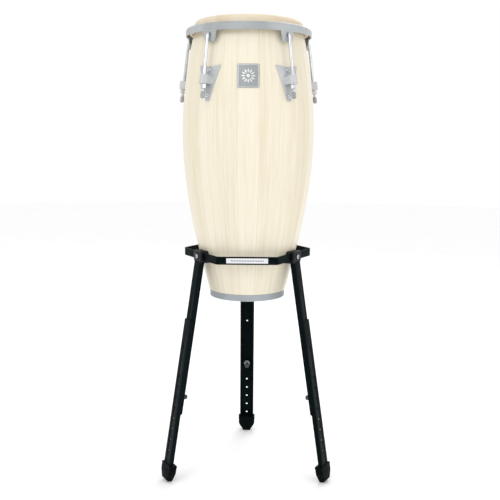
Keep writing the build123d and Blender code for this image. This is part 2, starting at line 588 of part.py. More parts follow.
# ================================================================ stand: clamps
with BuildPart() as shell_clearance:
    with BuildSketch(drum_side):
        with BuildLine():
            face = Spline(*shell_line(PAD_GAP, PAD_LOW, PAD_HIGH, spans=2))
            Polyline(face @ 1, (0, PAD_HIGH), (0, PAD_LOW), face @ 0)
        make_face()
    revolve(axis=Axis.Z)

with BuildPart() as leg_clearance:
    with BuildSketch(across_leg(UPPER_TOP - CLAMP_PLAY)):
        with Locations((-LEG_SHEET / 2, 0)):
            Rectangle(LEG_SHEET + CLAMP_PLAY, UPPER_WIDTH + 2 * CLAMP_PLAY)
    extrude(amount=2 * (FLANGE_TOP - UPPER_TOP))
    with BuildSketch(across_leg(FLANGE_TOP - CLAMP_PLAY)):
        with Locations((-UPPER_DEPTH / 2, 0)):
            Rectangle(UPPER_DEPTH + CLAMP_PLAY, UPPER_WIDTH + 2 * CLAMP_PLAY)
    extrude(amount=CLAMP_WIDTH)

strap_center = STRAP_LEG_APOTHEM - STRAP_SHEET / 2
clamp_middle = (CLAMP_BOTTOM + CLAMP_TOP) / 2
with BuildPart() as strap_clearance:
    with BuildSketch(Plane.YZ.offset(STRAP_LEG_APOTHEM - STRAP_SHEET)):
        with Locations((0, strap_middle)):
            Rectangle(CLAMP_WIDTH + 2 * CUT_MARGIN, STRAP_TOP - STRAP_BOTTOM)
    extrude(amount=STRAP_SHEET)

with BuildPart() as clamp_cover:
    with BuildSketch(Plane.YZ.offset(strap_center)):
        with Locations((0, clamp_middle)):
            RectangleRounded(CLAMP_WIDTH, CLAMP_TOP - CLAMP_BOTTOM, radius=CLAMP_CORNER)
    extrude(amount=CLAMP_OUTER_RADIUS - strap_center)
    fillet(clamp_cover.faces().sort_by(Axis.X)[-1].edges(), radius=CLAMP_EDGE)
    add([strap_clearance.part, leg_clearance.part], mode=Mode.SUBTRACT)
    with BuildSketch(Plane.YZ.offset(CLAMP_OUTER_RADIUS)):
        with Locations((0, CLAMP_BOLT_HEIGHT)):
            Circle(CLAMP_BOLT_RADIUS + BOLT_CLEARANCE)
    extrude(amount=-PAD_DEPTH, mode=Mode.SUBTRACT)

with BuildPart() as rest_pad:
    with BuildSketch(Plane.YZ.offset(strap_center)):
        with Locations((0, clamp_middle)):
            RectangleRounded(CLAMP_WIDTH, CLAMP_TOP - CLAMP_BOTTOM, radius=CLAMP_CORNER)
    extrude(amount=-PAD_DEPTH)
    add([strap_clearance.part, leg_clearance.part, shell_clearance.part], mode=Mode.SUBTRACT)
    with BuildSketch(Plane.YZ.offset(strap_center)):
        with Locations((0, CLAMP_BOLT_HEIGHT)):
            Circle(CLAMP_BOLT_RADIUS + BOLT_CLEARANCE)
    extrude(amount=-PAD_DEPTH, mode=Mode.SUBTRACT)
    with BuildSketch(Plane.YZ.offset(CLAMP_NUT_SEAT)):
        with Locations((0, CLAMP_BOLT_HEIGHT)):
            RegularPolygon(CLAMP_NUT_FLATS / 2 + CLAMP_NUT_ROOM, 6, major_radius=False)
    extrude(amount=-PAD_DEPTH, mode=Mode.SUBTRACT)

with BuildPart() as clamp_bolt:
    with BuildSketch(Plane.YZ.offset(CLAMP_OUTER_RADIUS)):
        with Locations((0, CLAMP_BOLT_HEIGHT)):
            Circle(CLAMP_BOLT_RADIUS)
    extrude(amount=CLAMP_NUT_SEAT - CLAMP_BOLT_REACH - CLAMP_OUTER_RADIUS)
    with BuildSketch(Plane.YZ.offset(CLAMP_OUTER_RADIUS)):
        with Locations((0, CLAMP_BOLT_HEIGHT)):
            Circle(CLAMP_BOLT_HEAD_RADIUS)
    extrude(amount=CLAMP_BOLT_HEAD_HEIGHT)
    fillet(clamp_bolt.faces().sort_by(Axis.X)[-1].edges(), radius=CLAMP_BOLT_DOME)
    with BuildSketch(Plane.YZ.offset(CLAMP_OUTER_RADIUS + CLAMP_BOLT_HEAD_HEIGHT)):
        with Locations((0, CLAMP_BOLT_HEIGHT)):
            RegularPolygon(CLAMP_SOCKET_FLATS / 2, 6, major_radius=False)
    extrude(amount=-CLAMP_SOCKET_DEPTH, mode=Mode.SUBTRACT)

with BuildPart() as clamp_nut:
    with BuildSketch(Plane.YZ.offset(CLAMP_NUT_SEAT)):
        with Locations((0, CLAMP_BOLT_HEIGHT)):
            RegularPolygon(CLAMP_NUT_FLATS / 2, 6, major_radius=False)
            Circle(CLAMP_BOLT_RADIUS, mode=Mode.SUBTRACT)
    extrude(amount=-CLAMP_NUT_HEIGHT)

# ================================================================ stand: locking pins
pin_line = Axis(leg_origin + leg_down * PIN_PLACE, leg_out)

with BuildPart() as pin_barrel:
    with BuildSketch(through_leg(PIN_PLACE, -LEG_SHEET)):
        Circle(BARREL_RADIUS)
        Circle(BARREL_BORE_RADIUS, mode=Mode.SUBTRACT)
    extrude(amount=BARREL_END + LEG_SHEET)
    with BuildSketch(through_leg(PIN_PLACE, -LEG_SHEET)):
        Circle(BARREL_FLANGE_RADIUS)
        Circle(BARREL_BORE_RADIUS, mode=Mode.SUBTRACT)
    extrude(amount=-BARREL_FLANGE_THICKNESS)
    with BuildSketch(through_leg(PIN_PLACE, BARREL_END)):
        Circle(BARREL_RADIUS)
        Circle(PIN_RADIUS + FACE_GAP, mode=Mode.SUBTRACT)
    extrude(amount=BARREL_END_WALL)

with BuildPart() as lock_pin:
    with BuildSketch(through_leg(PIN_PLACE, PIN_TIP)):
        Circle(PIN_RADIUS)
    extrude(amount=KNOB_START - PIN_TIP - KNOB_SOCKET_DEPTH)
    fillet(lock_pin.faces().sort_by(pin_line)[-1].edges(), radius=PIN_TIP_ROUNDING)
    with BuildSketch(through_leg(PIN_PLACE, -LEG_SHEET - COLLAR_GAP)):
        Circle(COLLAR_RADIUS)
    extrude(amount=-COLLAR_THICKNESS)

spring_start = -LEG_SHEET - COLLAR_GAP - COLLAR_THICKNESS - SPRING_WIRE_RADIUS - FACE_GAP
spring_length = spring_start - BARREL_END - BARREL_END_WALL - SPRING_WIRE_RADIUS - FACE_GAP
with BuildPart() as coil:
    with BuildLine():
        wire = Helix(pitch=spring_length / SPRING_TURNS, height=spring_length, radius=SPRING_RADIUS)
    with BuildSketch(Plane(origin=wire @ 0, z_dir=wire % 0)):
        Circle(SPRING_WIRE_RADIUS)
    sweep(is_frenet=True)
pin_spring = through_leg(PIN_PLACE, spring_start - spring_length) * coil.part

with BuildPart() as pull_knob:
    with BuildSketch(through_leg(PIN_PLACE, KNOB_START)):
        Circle(KNOB_RADIUS)
        Circle(PIN_RADIUS, mode=Mode.SUBTRACT)
    extrude(amount=-KNOB_SOCKET_DEPTH)
    with BuildSketch(through_leg(PIN_PLACE, KNOB_START - KNOB_SOCKET_DEPTH)):
        Circle(KNOB_RADIUS)
    extrude(amount=KNOB_END - KNOB_START + KNOB_SOCKET_DEPTH)
    round_edges = pull_knob.edges().filter_by(GeomType.CIRCLE).group_by(pin_line)
    fillet(round_edges[0], radius=KNOB_DOME)
    chamfer(round_edges[-1].sort_by(SortBy.RADIUS)[-1], length=KNOB_CHAMFER)

# ================================================================ stand: pieces repeated at each leg
leg_angles = list(LEG_NAMES.values())
save(around(clamp_cover.part, leg_angles), "clamp_covers")
save(around(rest_pad.part, leg_angles), "rest_pads")
save(around(clamp_bolt.part, leg_angles), "clamp_bolts")
save(around(clamp_nut.part, leg_angles), "clamp_nuts")
save(around(pin_barrel.part, leg_angles), "pin_barrels")
for leg_name, leg_angle in LEG_NAMES.items():
    save(turned(upper_leg.part, leg_angle), f"upper_leg_{leg_name}")
    save(turned(lower_leg.part, leg_angle), f"lower_leg_{leg_name}")
    save(turned(foot.part, leg_angle), f"foot_{leg_name}")
    save(turned(lock_pin.part, leg_angle), f"lock_pin_{leg_name}")
    save(turned(pull_knob.part, leg_angle), f"pull_knob_{leg_name}")
    save(turned(pin_spring, leg_angle), f"pin_spring_{leg_name}")
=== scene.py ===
from math import acos, atan, atan2, cos, hypot, pi, radians, sin, sqrt, tan

import bmesh
import bpy
from mathutils import Matrix, Vector


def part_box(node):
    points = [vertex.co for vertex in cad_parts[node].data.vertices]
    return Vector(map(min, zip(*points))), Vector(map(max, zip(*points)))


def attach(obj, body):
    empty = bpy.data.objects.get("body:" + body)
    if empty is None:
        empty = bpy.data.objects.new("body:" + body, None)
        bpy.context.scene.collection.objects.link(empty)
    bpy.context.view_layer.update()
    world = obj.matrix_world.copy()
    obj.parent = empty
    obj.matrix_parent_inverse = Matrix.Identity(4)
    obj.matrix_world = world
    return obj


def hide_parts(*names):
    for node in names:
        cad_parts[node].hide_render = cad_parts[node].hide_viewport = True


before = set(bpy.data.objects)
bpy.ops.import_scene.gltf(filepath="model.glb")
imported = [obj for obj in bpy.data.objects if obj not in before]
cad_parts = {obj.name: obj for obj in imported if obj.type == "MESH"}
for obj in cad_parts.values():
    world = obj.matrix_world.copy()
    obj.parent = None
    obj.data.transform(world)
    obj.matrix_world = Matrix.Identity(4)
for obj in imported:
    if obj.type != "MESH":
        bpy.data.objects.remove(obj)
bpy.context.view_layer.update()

MM = 0.001     # every size below is in millimetres and scaled once, when a mesh is made
FLOOR_RADIUS = 9.0             # but the stage's floor, its lights and the camera are in metres

# ---------------------------------------------------------------- the drum's sizes
DRUM_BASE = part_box("bottom_band")[0].z / MM
BELLY_RADIUS, BELLY_HEIGHT = 172.7, 437.0
LOWER_SLOPE, LOWER_BEND = 0.377, 143.0
UPPER_SLOPE, UPPER_BEND = 0.30, 79.0
SHELL_TOP, SHELL_SHOULDER, SHELL_WALL = 716.5, 704.0, 11.0
BEARING_RADIUS = 126.5
BAND_HEIGHT, BAND_INNER, BAND_OUTER = 18.0, 97.5, 100.8
STAVES = 20
HEAD_THICKNESS, HEAD_SAG = 2.0, 0.35
HOOP_RADIUS, HOOP_HEIGHT, HOOP_ROD = 149.5, 687.4, 4.0
RIM_OUTER, RIM_LIP, RIM_SHEET = 162.8, 145.0, 3.0
RIM_BOTTOM, RIM_TOP = 677.7, 698.0
EAR_BOTTOM, EAR_TOP_WIDTH, EAR_BOTTOM_WIDTH = 652.0, 40.0, 29.0

# ---------------------------------------------------------------- the tuning lugs' sizes
LUGS = 5
LUG_ANGLES = [-54 + 360 / LUGS * turn for turn in range(LUGS)]
ROD_RADIUS = 4.0
THREAD_PITCH, THREAD_DEPTH = 1.411, 0.45
ARM_HEIGHT, ELBOW_RADIUS = 670.0, 168.5
SEAT_RADIUS, SEAT_HEIGHT, TAIL_HEIGHT = 185.3, 550.0, 518.0
CAP_RADIUS, CAP_START, CAP_END = 5.2, 19.0, 35.5
NUT_FLATS, NUT_HEIGHT, NUT_START, NUT_BORE = 12.7, 11.0, 0.6, 4.35
PLATE_TOP, PLATE_TIP, PLATE_DIP = 598.0, 510.0, 5.0
PLATE_TOP_WIDTH, PLATE_TIP_WIDTH, PLATE_SHEET = 67.0, 11.0, 2.8
PLATE_BOLT_HEIGHTS = (584.0, 523.0)
PLATE_BOLT_RADIUS, PLATE_BOLT_HEAD, BOLT_SOCKET = 3.0, 5.4, 4.0
INNER_WASHER_HOLE, INNER_WASHER_RADIUS = 3.25, 8.0
RECEIVER_RADIUS, RECEIVER_DEPTH, RECEIVER_BORE, RECEIVER_FOOT = 11.0, 21.0, 5.0, 28.0
BADGE_WIDTH, BADGE_BOTTOM, BADGE_TOP, BADGE_SHEET = 53.7, 540.0, 597.5, 1.2

# ---------------------------------------------------------------- the stand's sizes
STRAP_BOTTOM, STRAP_TOP, STRAP_SHEET = DRUM_BASE + 106.0, DRUM_BASE + 126.0, 3.0
STRAP_LEG_APOTHEM, STRAP_FREE_APOTHEM, STRAP_BEND = 143.5, 154.7, 12.0
STRAP_HOLE_SPACING = 27.0
LABEL_WIDTH, LABEL_HEIGHT, LABEL_SHEET = 105.0, 12.8, 0.5
LEGS = {"back": 90, "front_left": 210, "front_right": 330}
SPLAY = radians(9.37)
LEG_RADIUS = 166.2
LEG_SHEET = 2.4
UPPER_WIDTH, UPPER_DEPTH, UPPER_TOP, UPPER_END, FLANGE_TOP = 30.4, 10.8, -123.0, 307.0, -105.0
LOWER_WIDTH, LOWER_DEPTH, LOWER_OUT, LOWER_TOP, LOWER_END = 36.0, 8.0, 2.7, 52.0, 478.0
PIN_PLACE, HOLE_PITCH, GUIDE_HOLE, LEG_HOLE = 261.0, 28.5, 123.0, 2.9
CLAMP_WIDTH, CLAMP_BOTTOM, CLAMP_TOP = 45.0, DRUM_BASE + 98.0, DRUM_BASE + 130.0
CLAMP_INNER, CLAMP_OUTER, CLAMP_BOLT_HEIGHT = 142.0, 151.5, DRUM_BASE + 115.0
CLAMP_BOLT_RADIUS, CLAMP_BOLT_HEAD = 3.0, 6.2
BOOT_WIDTH, BOOT_TOP, BOOT_INNER, BOOT_OUTER = 48.5, 442.0, -14.0, 7.0
BOOT_SHOULDER, BOOT_TIP, BOOT_TIP_WIDTH, BOOT_CUT = 463.0, 497.0, 9.0, 242.0
BOOT_TOP_CORNER, BOOT_SHOULDER_CORNER, COLLAR_PROUD = 5, 16, 0.6
PIN_TIP, PIN_RADIUS, PIN_COLLAR = 3.5, 2.6, 4.7
KNOB_START, KNOB_END, KNOB_GRIPS = -15.5, -26.0, 18
BARREL_END, BARREL_WALL, BARREL_RADIUS, BARREL_FLANGE, BARREL_BORE = -14.5, 2.0, 6.2, 8.7, 5.0


# ================================================================ mesh tools
def rounded(points, radius, steps=4, closed=True):
    """The outline with its corners rounded; radius may be a list, one for each corner."""
    count, out = len(points), []
    for index, point in enumerate(points):
        here = Vector(point)
        size = radius[index] if isinstance(radius, (list, tuple)) else radius
        if size <= 0 or (not closed and index in (0, count - 1)):
            out.append(here)
            continue
        before, after = Vector(points[index - 1]), Vector(points[(index + 1) % count])
        back, on = (before - here).normalized(), (after - here).normalized()
        half = acos(max(-1, min(1, back.dot(on)))) / 2
        centre = here + (back + on).normalized() * (size / sin(half))
        start, end = here + back * (size / tan(half)), here + on * (size / tan(half))
        for step in range(steps + 1):
            share = step / steps
            chord = start.lerp(end, share) - centre
            out.append(centre + chord.normalized() * size)
    return out


def circle(x, y, radius, count=24):
    """A round loop about (x, y)."""
    turns = [2 * pi * step / count for step in range(count)]
    return [Vector((x + radius * cos(turn), y + radius * sin(turn))) for turn in turns]


def mirrored(half):
    """A whole outline from the points of its half on the positive side of the u axis."""
    return half + [(x, -y) for x, y in reversed(half)]


def rectangle(x, y, width, height, radius, steps=5):
    """A rectangular loop with rounded corners about (x, y)."""
    across, up = width / 2, height / 2
    corners = [(x + across, y + up), (x - across, y + up), (x - across, y - up), (x + across, y - up)]
    return rounded(corners, radius, steps)


def skin(bm, rows, loop=False, caps=False, material=0):
    """Faces between rows of points; each row closes on itself."""
    made = [[bm.verts.new(point) for point in row] for row in rows]
    following = made[1:] + made[:1] if loop else made[1:]
    for low, high in zip(made, following):
        for here in range(len(low)):
            there = (here + 1) % len(low)
            face = bm.faces.new((low[here], low[there], high[there], high[here]))
            face.material_index = material
    if caps:
        for row in (made[0], made[-1]):
            bm.faces.new(row).material_index = material


def ring(radius, height, count, place=Matrix.Identity(4)):
    """One row of a turned piece; radius may be a function of the angle."""
    points = []
    for step in range(count):
        turn = 2 * pi * step / count
        reach = radius(turn) if callable(radius) else radius
        points.append(place @ Vector((reach * cos(turn), reach * sin(turn), height)))
    return points


def lathe(bm, profile, count, place=Matrix.Identity(4), loop=False, material=0):
    """Turn (radius, height) points about the z axis of place."""
    rows = [ring(radius, height, count, place) for radius, height in profile]
    skin(bm, rows, loop=loop, caps=not loop, material=material)


def tube(bm, points, radius, count):
    """A round bar along the points; radius may be a function of the row and the angle."""
    ahead = [(b - a).normalized() for a, b in zip(points, points[1:])]
    ahead.append(ahead[-1])
    side = ahead[0].orthogonal().normalized()
    rows = []
    for index, (point, way) in enumerate(zip(points, ahead)):
        side = (side - way * side.dot(way)).normalized()
        up = way.cross(side)
        row = []
        for step in range(count):
            turn = 2 * pi * step / count
            reach = radius(index, turn) if callable(radius) else radius
            row.append(point + (side * cos(turn) + up * sin(turn)) * reach)
        rows.append(row)
    skin(bm, rows, caps=True)


def sheet(bm, loops, thickness, place, cuts=(), bevel=0.4, segments=2, material=0):
    """A flat sheet cut to the loops (the outline, then its holes), with its edges rounded.

    It is drawn flat in u and v, cut across at the given (axis, place) pairs, and every
    point is then carried to place(u, v, w), where w is the height in the thickness.
    """
    flat = bmesh.new()
    edges = []
    for outline in loops:
        corners = [flat.verts.new((point[0], point[1], 0)) for point in outline]
        following = corners[1:] + corners[:1]
        edges += [flat.edges.new(pair) for pair in zip(corners, following)]
    bmesh.ops.triangle_fill(flat, edges=edges, use_beauty=True)
    bmesh.ops.dissolve_limit(flat, angle_limit=0.01, verts=flat.verts[:], edges=flat.edges[:])
    for face in flat.faces:
        if face.normal.z < 0:
            face.normal_flip()
    bmesh.ops.solidify(flat, geom=flat.faces[:], thickness=thickness)
    lowest = min(vert.co.z for vert in flat.verts)
    for vert in flat.verts:
        vert.co.z -= lowest
    if bevel:
        rim = [edge for edge in flat.edges if len(edge.link_faces) == 2 and edge.calc_face_angle() > 0.9]
        bmesh.ops.bevel(
            flat, geom=rim, offset=bevel, segments=segments, profile=0.5, affect="EDGES", clamp_overlap=True
        )
    for axis, where in cuts:
        direction = Vector((1, 0, 0)) if axis == "u" else Vector((0, 1, 0))
        everything = flat.verts[:] + flat.edges[:] + flat.faces[:]
        bmesh.ops.bisect_plane(flat, geom=everything, plane_co=direction * where, plane_no=direction)
    for vert in flat.verts:
        vert.co = place(*vert.co)
    join(bm, flat, material=material)
    flat.free()


def join(bm, other, move=Matrix.Identity(4), material=None):
    """Add a moved copy of the other mesh."""
    made = {vert: bm.verts.new(move @ vert.co) for vert in other.verts}
    for face in other.faces:
        copy = bm.faces.new([made[vert] for vert in face.verts])
        copy.material_index = face.material_index if material is None else material


def around(bm, angles):
    """Copies of the mesh about the drum's axis."""
    group = bmesh.new()
    for angle in angles:
        join(group, bm, Matrix.Rotation(radians(angle), 4, "Z"))
    return group


def span(low, high, count):
    """Evenly spaced values from low to high."""
    return [low + (high - low) * step / count for step in range(count + 1)]


def bent_line(corners, radius, closed, steps=6):
    """(length along, point, outward normal) rows of a line with round bends."""
    points = rounded(corners, radius, steps, closed)
    if closed:
        points.append(points[0].copy())
    ways = [(b - a).normalized() for a, b in zip(points, points[1:])]
    rows, length = [], 0.0
    for index, point in enumerate(points):
        before = ways[index - 1] if index or closed else ways[0]
        after = ways[index % len(ways)] if index < len(ways) or closed else ways[-1]
        way = (before + after).normalized()
        rows.append((length, point, Vector((way.y, -way.x))))
        if index < len(ways):
            length += (points[index + 1] - point).length
    return rows


def along(rows, length, depth):
    """The point at a length along a bent line, moved inwards by depth."""
    for (start, point, normal), (end, next_point, next_normal) in zip(rows, rows[1:]):
        if length <= end or end == rows[-1][0]:
            share = (length - start) / (end - start)
            way = normal.lerp(next_normal, share)
            length_left = max(0.5, way.length)
            return point.lerp(next_point, share) - way * (depth / length_left / length_left)


def make(name, bm, body, materials, replaces=(), turn=0.0, crease=38):
    """Turn a finished mesh, in millimetres, into a piece that rides on a body."""
    shape = bm.copy()
    bmesh.ops.remove_doubles(shape, verts=shape.verts[:], dist=1e-4)
    bmesh.ops.recalc_face_normals(shape, faces=shape.faces[:])
    bmesh.ops.transform(
        shape, matrix=Matrix.Scale(MM, 4) @ Matrix.Rotation(radians(turn), 4, "Z"), verts=shape.verts[:]
    )
    mesh = bpy.data.meshes.new(name)
    shape.to_mesh(mesh)
    shape.free()
    mesh.polygons.foreach_set("use_smooth", [True] * len(mesh.polygons))
    mesh.set_sharp_from_angle(angle=radians(crease))
    for material in materials:
        mesh.materials.append(material)
    piece = bpy.data.objects.new(name, mesh)
    bpy.context.scene.collection.objects.link(piece)
    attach(piece, body)
    if replaces:
        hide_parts(*replaces)
    return piece


# ================================================================ material tools
def node(tree, kind, inputs=None, **settings):
    """A shader node with its settings, and with values or links on its inputs."""
    made = tree.nodes.new(kind)
    for key, value in settings.items():
        setattr(made, key, value)
    for key, value in (inputs or {}).items():
        if isinstance(value, bpy.types.NodeSocket):
            tree.links.new(value, made.inputs[key])
        else:
            made.inputs[key].default_value = value
    return made


def ramp(tree, factor, stops):
    """A colour ramp through (place, colour) stops."""
    made = node(tree, "ShaderNodeValToRGB", {"Fac": factor})
    elements = made.color_ramp.elements
    while len(elements) < len(stops):
        elements.new(0.5)
    for element, (where, colour) in zip(elements, stops):
        element.position = where
        element.color = (*colour, 1)
    return made.outputs["Color"]


def maths(tree, operation, first, second=0.0):
    """One step of arithmetic."""
    return node(tree, "ShaderNodeMath", {0: first, 1: second}, operation=operation).outputs[0]


def spread(tree, value, low, high, to_low, to_high):
    """The value carried from one range to another."""
    return node(tree, "ShaderNodeMapRange", {
        "Value": value, "From Min": low, "From Max": high, "To Min": to_low, "To Max": to_high,
    }).outputs["Result"]


def noise(tree, where, scale, detail=4.0, roughness=0.55, distortion=0.0):
    """Noise between 0 and 1 at a place."""
    return node(tree, "ShaderNodeTexNoise", {
        "Vector": where, "Scale": scale, "Detail": detail, "Roughness": roughness, "Distortion": distortion,
    }).outputs["Fac"]


def mix(tree, factor, first, second, blend="MIX"):
    """Two colours mixed."""
    made = node(tree, "ShaderNodeMix", data_type="RGBA", blend_type=blend)
    for key, value in zip((0, 6, 7), (factor, first, second)):
        if isinstance(value, bpy.types.NodeSocket):
            tree.links.new(value, made.inputs[key])
        else:
            made.inputs[key].default_value = (*value, 1) if isinstance(value, tuple) else value
    return made.outputs[2]


def bump(tree, height, distance, strength=1.0, normal=None):
    """A bump from a height between 0 and 1, over a distance in metres."""
    inputs = {"Height": height, "Distance": distance, "Strength": strength}
    if normal is not None:
        inputs["Normal"] = normal
    return node(tree, "ShaderNodeBump", inputs).outputs["Normal"]


def stretched(tree, scale):
    """The object's own coordinates, scaled along each axis."""
    place = node(tree, "ShaderNodeTexCoord").outputs["Object"]
    return node(tree, "ShaderNodeMapping", {"Vector": place, "Scale": scale}).outputs["Vector"]


def new_material(name, **values):
    """An empty material, its tree and its shader with the given constant values."""
    material = bpy.data.materials.new(name)
    material.use_nodes = True
    shader = material.node_tree.nodes["Principled BSDF"]
    for key, value in values.items():
        shader.inputs[key.replace("_", " ")].default_value = value
    return material, material.node_tree, shader


def wire(tree, shader, **sockets):
    """Link sockets to the shader's inputs."""
    for key, socket in sockets.items():
        tree.links.new(socket, shader.inputs[key.replace("_", " ")])


def coated_metal(name, colour, worn, roughness, peel=0.00003, gloss=0.5, tint=(1, 1, 1)):
    """Powder coat: a fine orange peel, a little dust in the colour, and paler worn edges."""
    material, tree, shader = new_material(name, Specular_IOR_Level=gloss, Specular_Tint=(*tint, 1))
    place = stretched(tree, (1, 1, 1))
    cloud = noise(tree, place, 14, 5)
    dark = tuple(channel * 0.82 for channel in colour)
    light = tuple(min(1, channel * 1.16) for channel in colour)
    coat = ramp(tree, cloud, [(0.30, dark), (0.55, colour), (0.75, light)])
    edge = node(tree, "ShaderNodeNewGeometry").outputs["Pointiness"]
    scuffs = noise(tree, place, 160, 3)
    worn_edge = maths(tree, "ADD", edge, maths(tree, "MULTIPLY", scuffs, 0.04))
    edge_share = spread(tree, worn_edge, 0.545, 0.60, 0, 0.75)
    wire(
        tree, shader,
        Base_Color=mix(tree, edge_share, coat, worn),
        Roughness=spread(tree, noise(tree, place, 60, 4), 0.3, 0.7, roughness - 0.06, roughness + 0.08),
        Normal=bump(tree, noise(tree, place, 900, 2), peel),
    )
    return material


def bright_metal(name, colour, roughness, brushed=(1, 1, 1), scratches=0.000012):
    """Plated or drawn metal with fine scratches and slight smears."""
    material, tree, shader = new_material(name, Metallic=1.0)
    smears = noise(tree, stretched(tree, (1, 1, 1)), 45, 4)
    fine = noise(tree, stretched(tree, brushed), 700, 3)
    dim = tuple(channel * 0.86 for channel in colour)
    wire(
        tree, shader,
        Base_Color=ramp(tree, smears, [(0.35, dim), (0.62, colour)]),
        Roughness=spread(tree, smears, 0.3, 0.7, roughness - 0.05, roughness + 0.09),
        Normal=bump(tree, fine, scratches),
    )
    return material


def moulded(name, colour, roughness, grain_scale, grain_height, gloss=0.5, dust_share=0.05):
    """Moulded rubber or plastic with a fine grain and a little dust."""
    material, tree, shader = new_material(name, Specular_IOR_Level=gloss)
    place = stretched(tree, (1, 1, 1))
    cells = node(tree, "ShaderNodeTexVoronoi", {"Vector": place, "Scale": grain_scale}).outputs["Distance"]
    cloud = noise(tree, place, 30, 5)
    light = tuple(min(1, channel * 1.35) for channel in colour)
    base = ramp(tree, cloud, [(0.35, colour), (0.7, light)])
    dusty = spread(tree, noise(tree, place, 75, 4, 0.6), 0.5, 0.75, 0, dust_share)
    wire(
        tree, shader,
        Base_Color=mix(tree, dusty, base, tuple(channel * 2.2 + 0.01 for channel in colour)),
        Roughness=spread(tree, cloud, 0.3, 0.7, roughness - 0.05, roughness + 0.08),
        Normal=bump(tree, cells, grain_height),
    )
    return material


def stave_wood(name, pale, warm, streak, lacquer):
    """Straight-grained staves: each its own shade, with fine streaks, pores and glue lines."""
    material, tree, shader = new_material(name, Coat_Weight=lacquer, Coat_Roughness=0.22)
    place = node(tree, "ShaderNodeTexCoord").outputs["Object"]
    parts = node(tree, "ShaderNodeSeparateXYZ", {"Vector": place})
    angle = maths(tree, "ARCTAN2", parts.outputs["Y"], parts.outputs["X"])
    turns = maths(tree, "ADD", maths(tree, "MULTIPLY", angle, STAVES / (2 * pi)), STAVES + 0.5)
    stave = maths(tree, "FLOOR", turns)
    shade = node(tree, "ShaderNodeTexWhiteNoise", {"W": stave}, noise_dimensions="1D").outputs["Value"]
    across = maths(tree, "MULTIPLY", angle, BELLY_RADIUS * MM)
    up = maths(tree, "ADD", parts.outputs["Z"], maths(tree, "MULTIPLY", shade, 7.0))
    apart = maths(tree, "MULTIPLY", stave, 0.37)
    board = node(tree, "ShaderNodeCombineXYZ", {"X": across, "Y": apart, "Z": up}).outputs[0]
    long_grain = node(tree, "ShaderNodeMapping", {"Vector": board, "Scale": (1, 1, 0.035)}).outputs[0]
    figure = noise(tree, long_grain, 55, 6, 0.62, 0.9)
    fine = noise(tree, long_grain, 420, 4, 0.6, 0.3)
    pore_grain = node(tree, "ShaderNodeMapping", {"Vector": board, "Scale": (1, 1, 0.02)}).outputs[0]
    pores = noise(tree, pore_grain, 1500, 2)
    base = ramp(tree, figure, [(0.30, streak), (0.46, warm), (0.62, pale)])
    lines = ramp(tree, fine, [(0.34, (0.935, 0.91, 0.87)), (0.56, (1, 1, 1))])
    grained = mix(tree, 0.8, base, lines, "MULTIPLY")
    tint = ramp(tree, shade, [(0.0, (0.93, 0.91, 0.875)), (0.5, (0.975, 0.965, 0.95)), (1.0, (1, 1, 1))])
    shaded = mix(tree, 1.0, grained, tint, "MULTIPLY")
    from_joint = maths(tree, "ABSOLUTE", maths(tree, "SUBTRACT", maths(tree, "FRACT", turns), 0.5))
    joint = spread(tree, from_joint, 0.4915, 0.4975, 0, 1)
    wire(
        tree, shader,
        Base_Color=mix(tree, maths(tree, "MULTIPLY", joint, 0.42), shaded, (0.62, 0.50, 0.36)),
        Roughness=spread(tree, fine, 0.3, 0.7, 0.40, 0.52),
        Normal=bump(tree, maths(tree, "ADD", pores, maths(tree, "MULTIPLY", joint, -0.8)), 0.00005, 0.7),
    )
    return material


def hide(name):
    """Thin rawhide: cloudy cream with faint veins."""
    material, tree, shader = new_material(name, Subsurface_Weight=0.12, Sheen_Weight=0.08)
    shader.inputs["Subsurface Radius"].default_value = (0.004, 0.0025, 0.0015)
    place = stretched(tree, (1, 1, 1))
    cloud = noise(tree, place, 11, 7, 0.62, 0.6)
    fibres = noise(tree, place, 260, 5, 0.7)
    veins = node(tree, "ShaderNodeTexVoronoi", {"Vector": place, "Scale": 24}, feature="DISTANCE_TO_EDGE")
    vein = spread(tree, veins.outputs["Distance"], 0.0, 0.035, 1, 0)
    tones = [(0.28, (0.62, 0.51, 0.37)), (0.5, (0.71, 0.61, 0.46)), (0.72, (0.78, 0.70, 0.56))]
    base = ramp(tree, cloud, tones)
    veined = mix(tree, maths(tree, "MULTIPLY", vein, 0.10), base, (0.62, 0.45, 0.28))
    speckled = mix(tree, spread(tree, fibres, 0.35, 0.65, 0.16, 0), veined, (0.70, 0.55, 0.38))
    wire(
        tree, shader,
        Base_Color=speckled,
        Roughness=spread(tree, cloud, 0.3, 0.7, 0.48, 0.62),
        Normal=bump(tree, fibres, 0.00012, 0.8),
    )
    return material


def film(name, colour):
    """A printed label's white film, slightly uneven and glossy."""
    material, tree, shader = new_material(name, Coat_Weight=0.4, Coat_Roughness=0.12)
    place = stretched(tree, (1, 1, 1))
    faded = tuple(channel * 0.94 for channel in colour)
    wire(
        tree, shader,
        Base_Color=ramp(tree, noise(tree, place, 90, 4), [(0.35, faded), (0.6, colour)]),
        Roughness=spread(tree, noise(tree, place, 220, 3), 0.3, 0.7, 0.28, 0.42),
        Normal=bump(tree, noise(tree, place, 350, 2), 0.00002),
    )
    return material


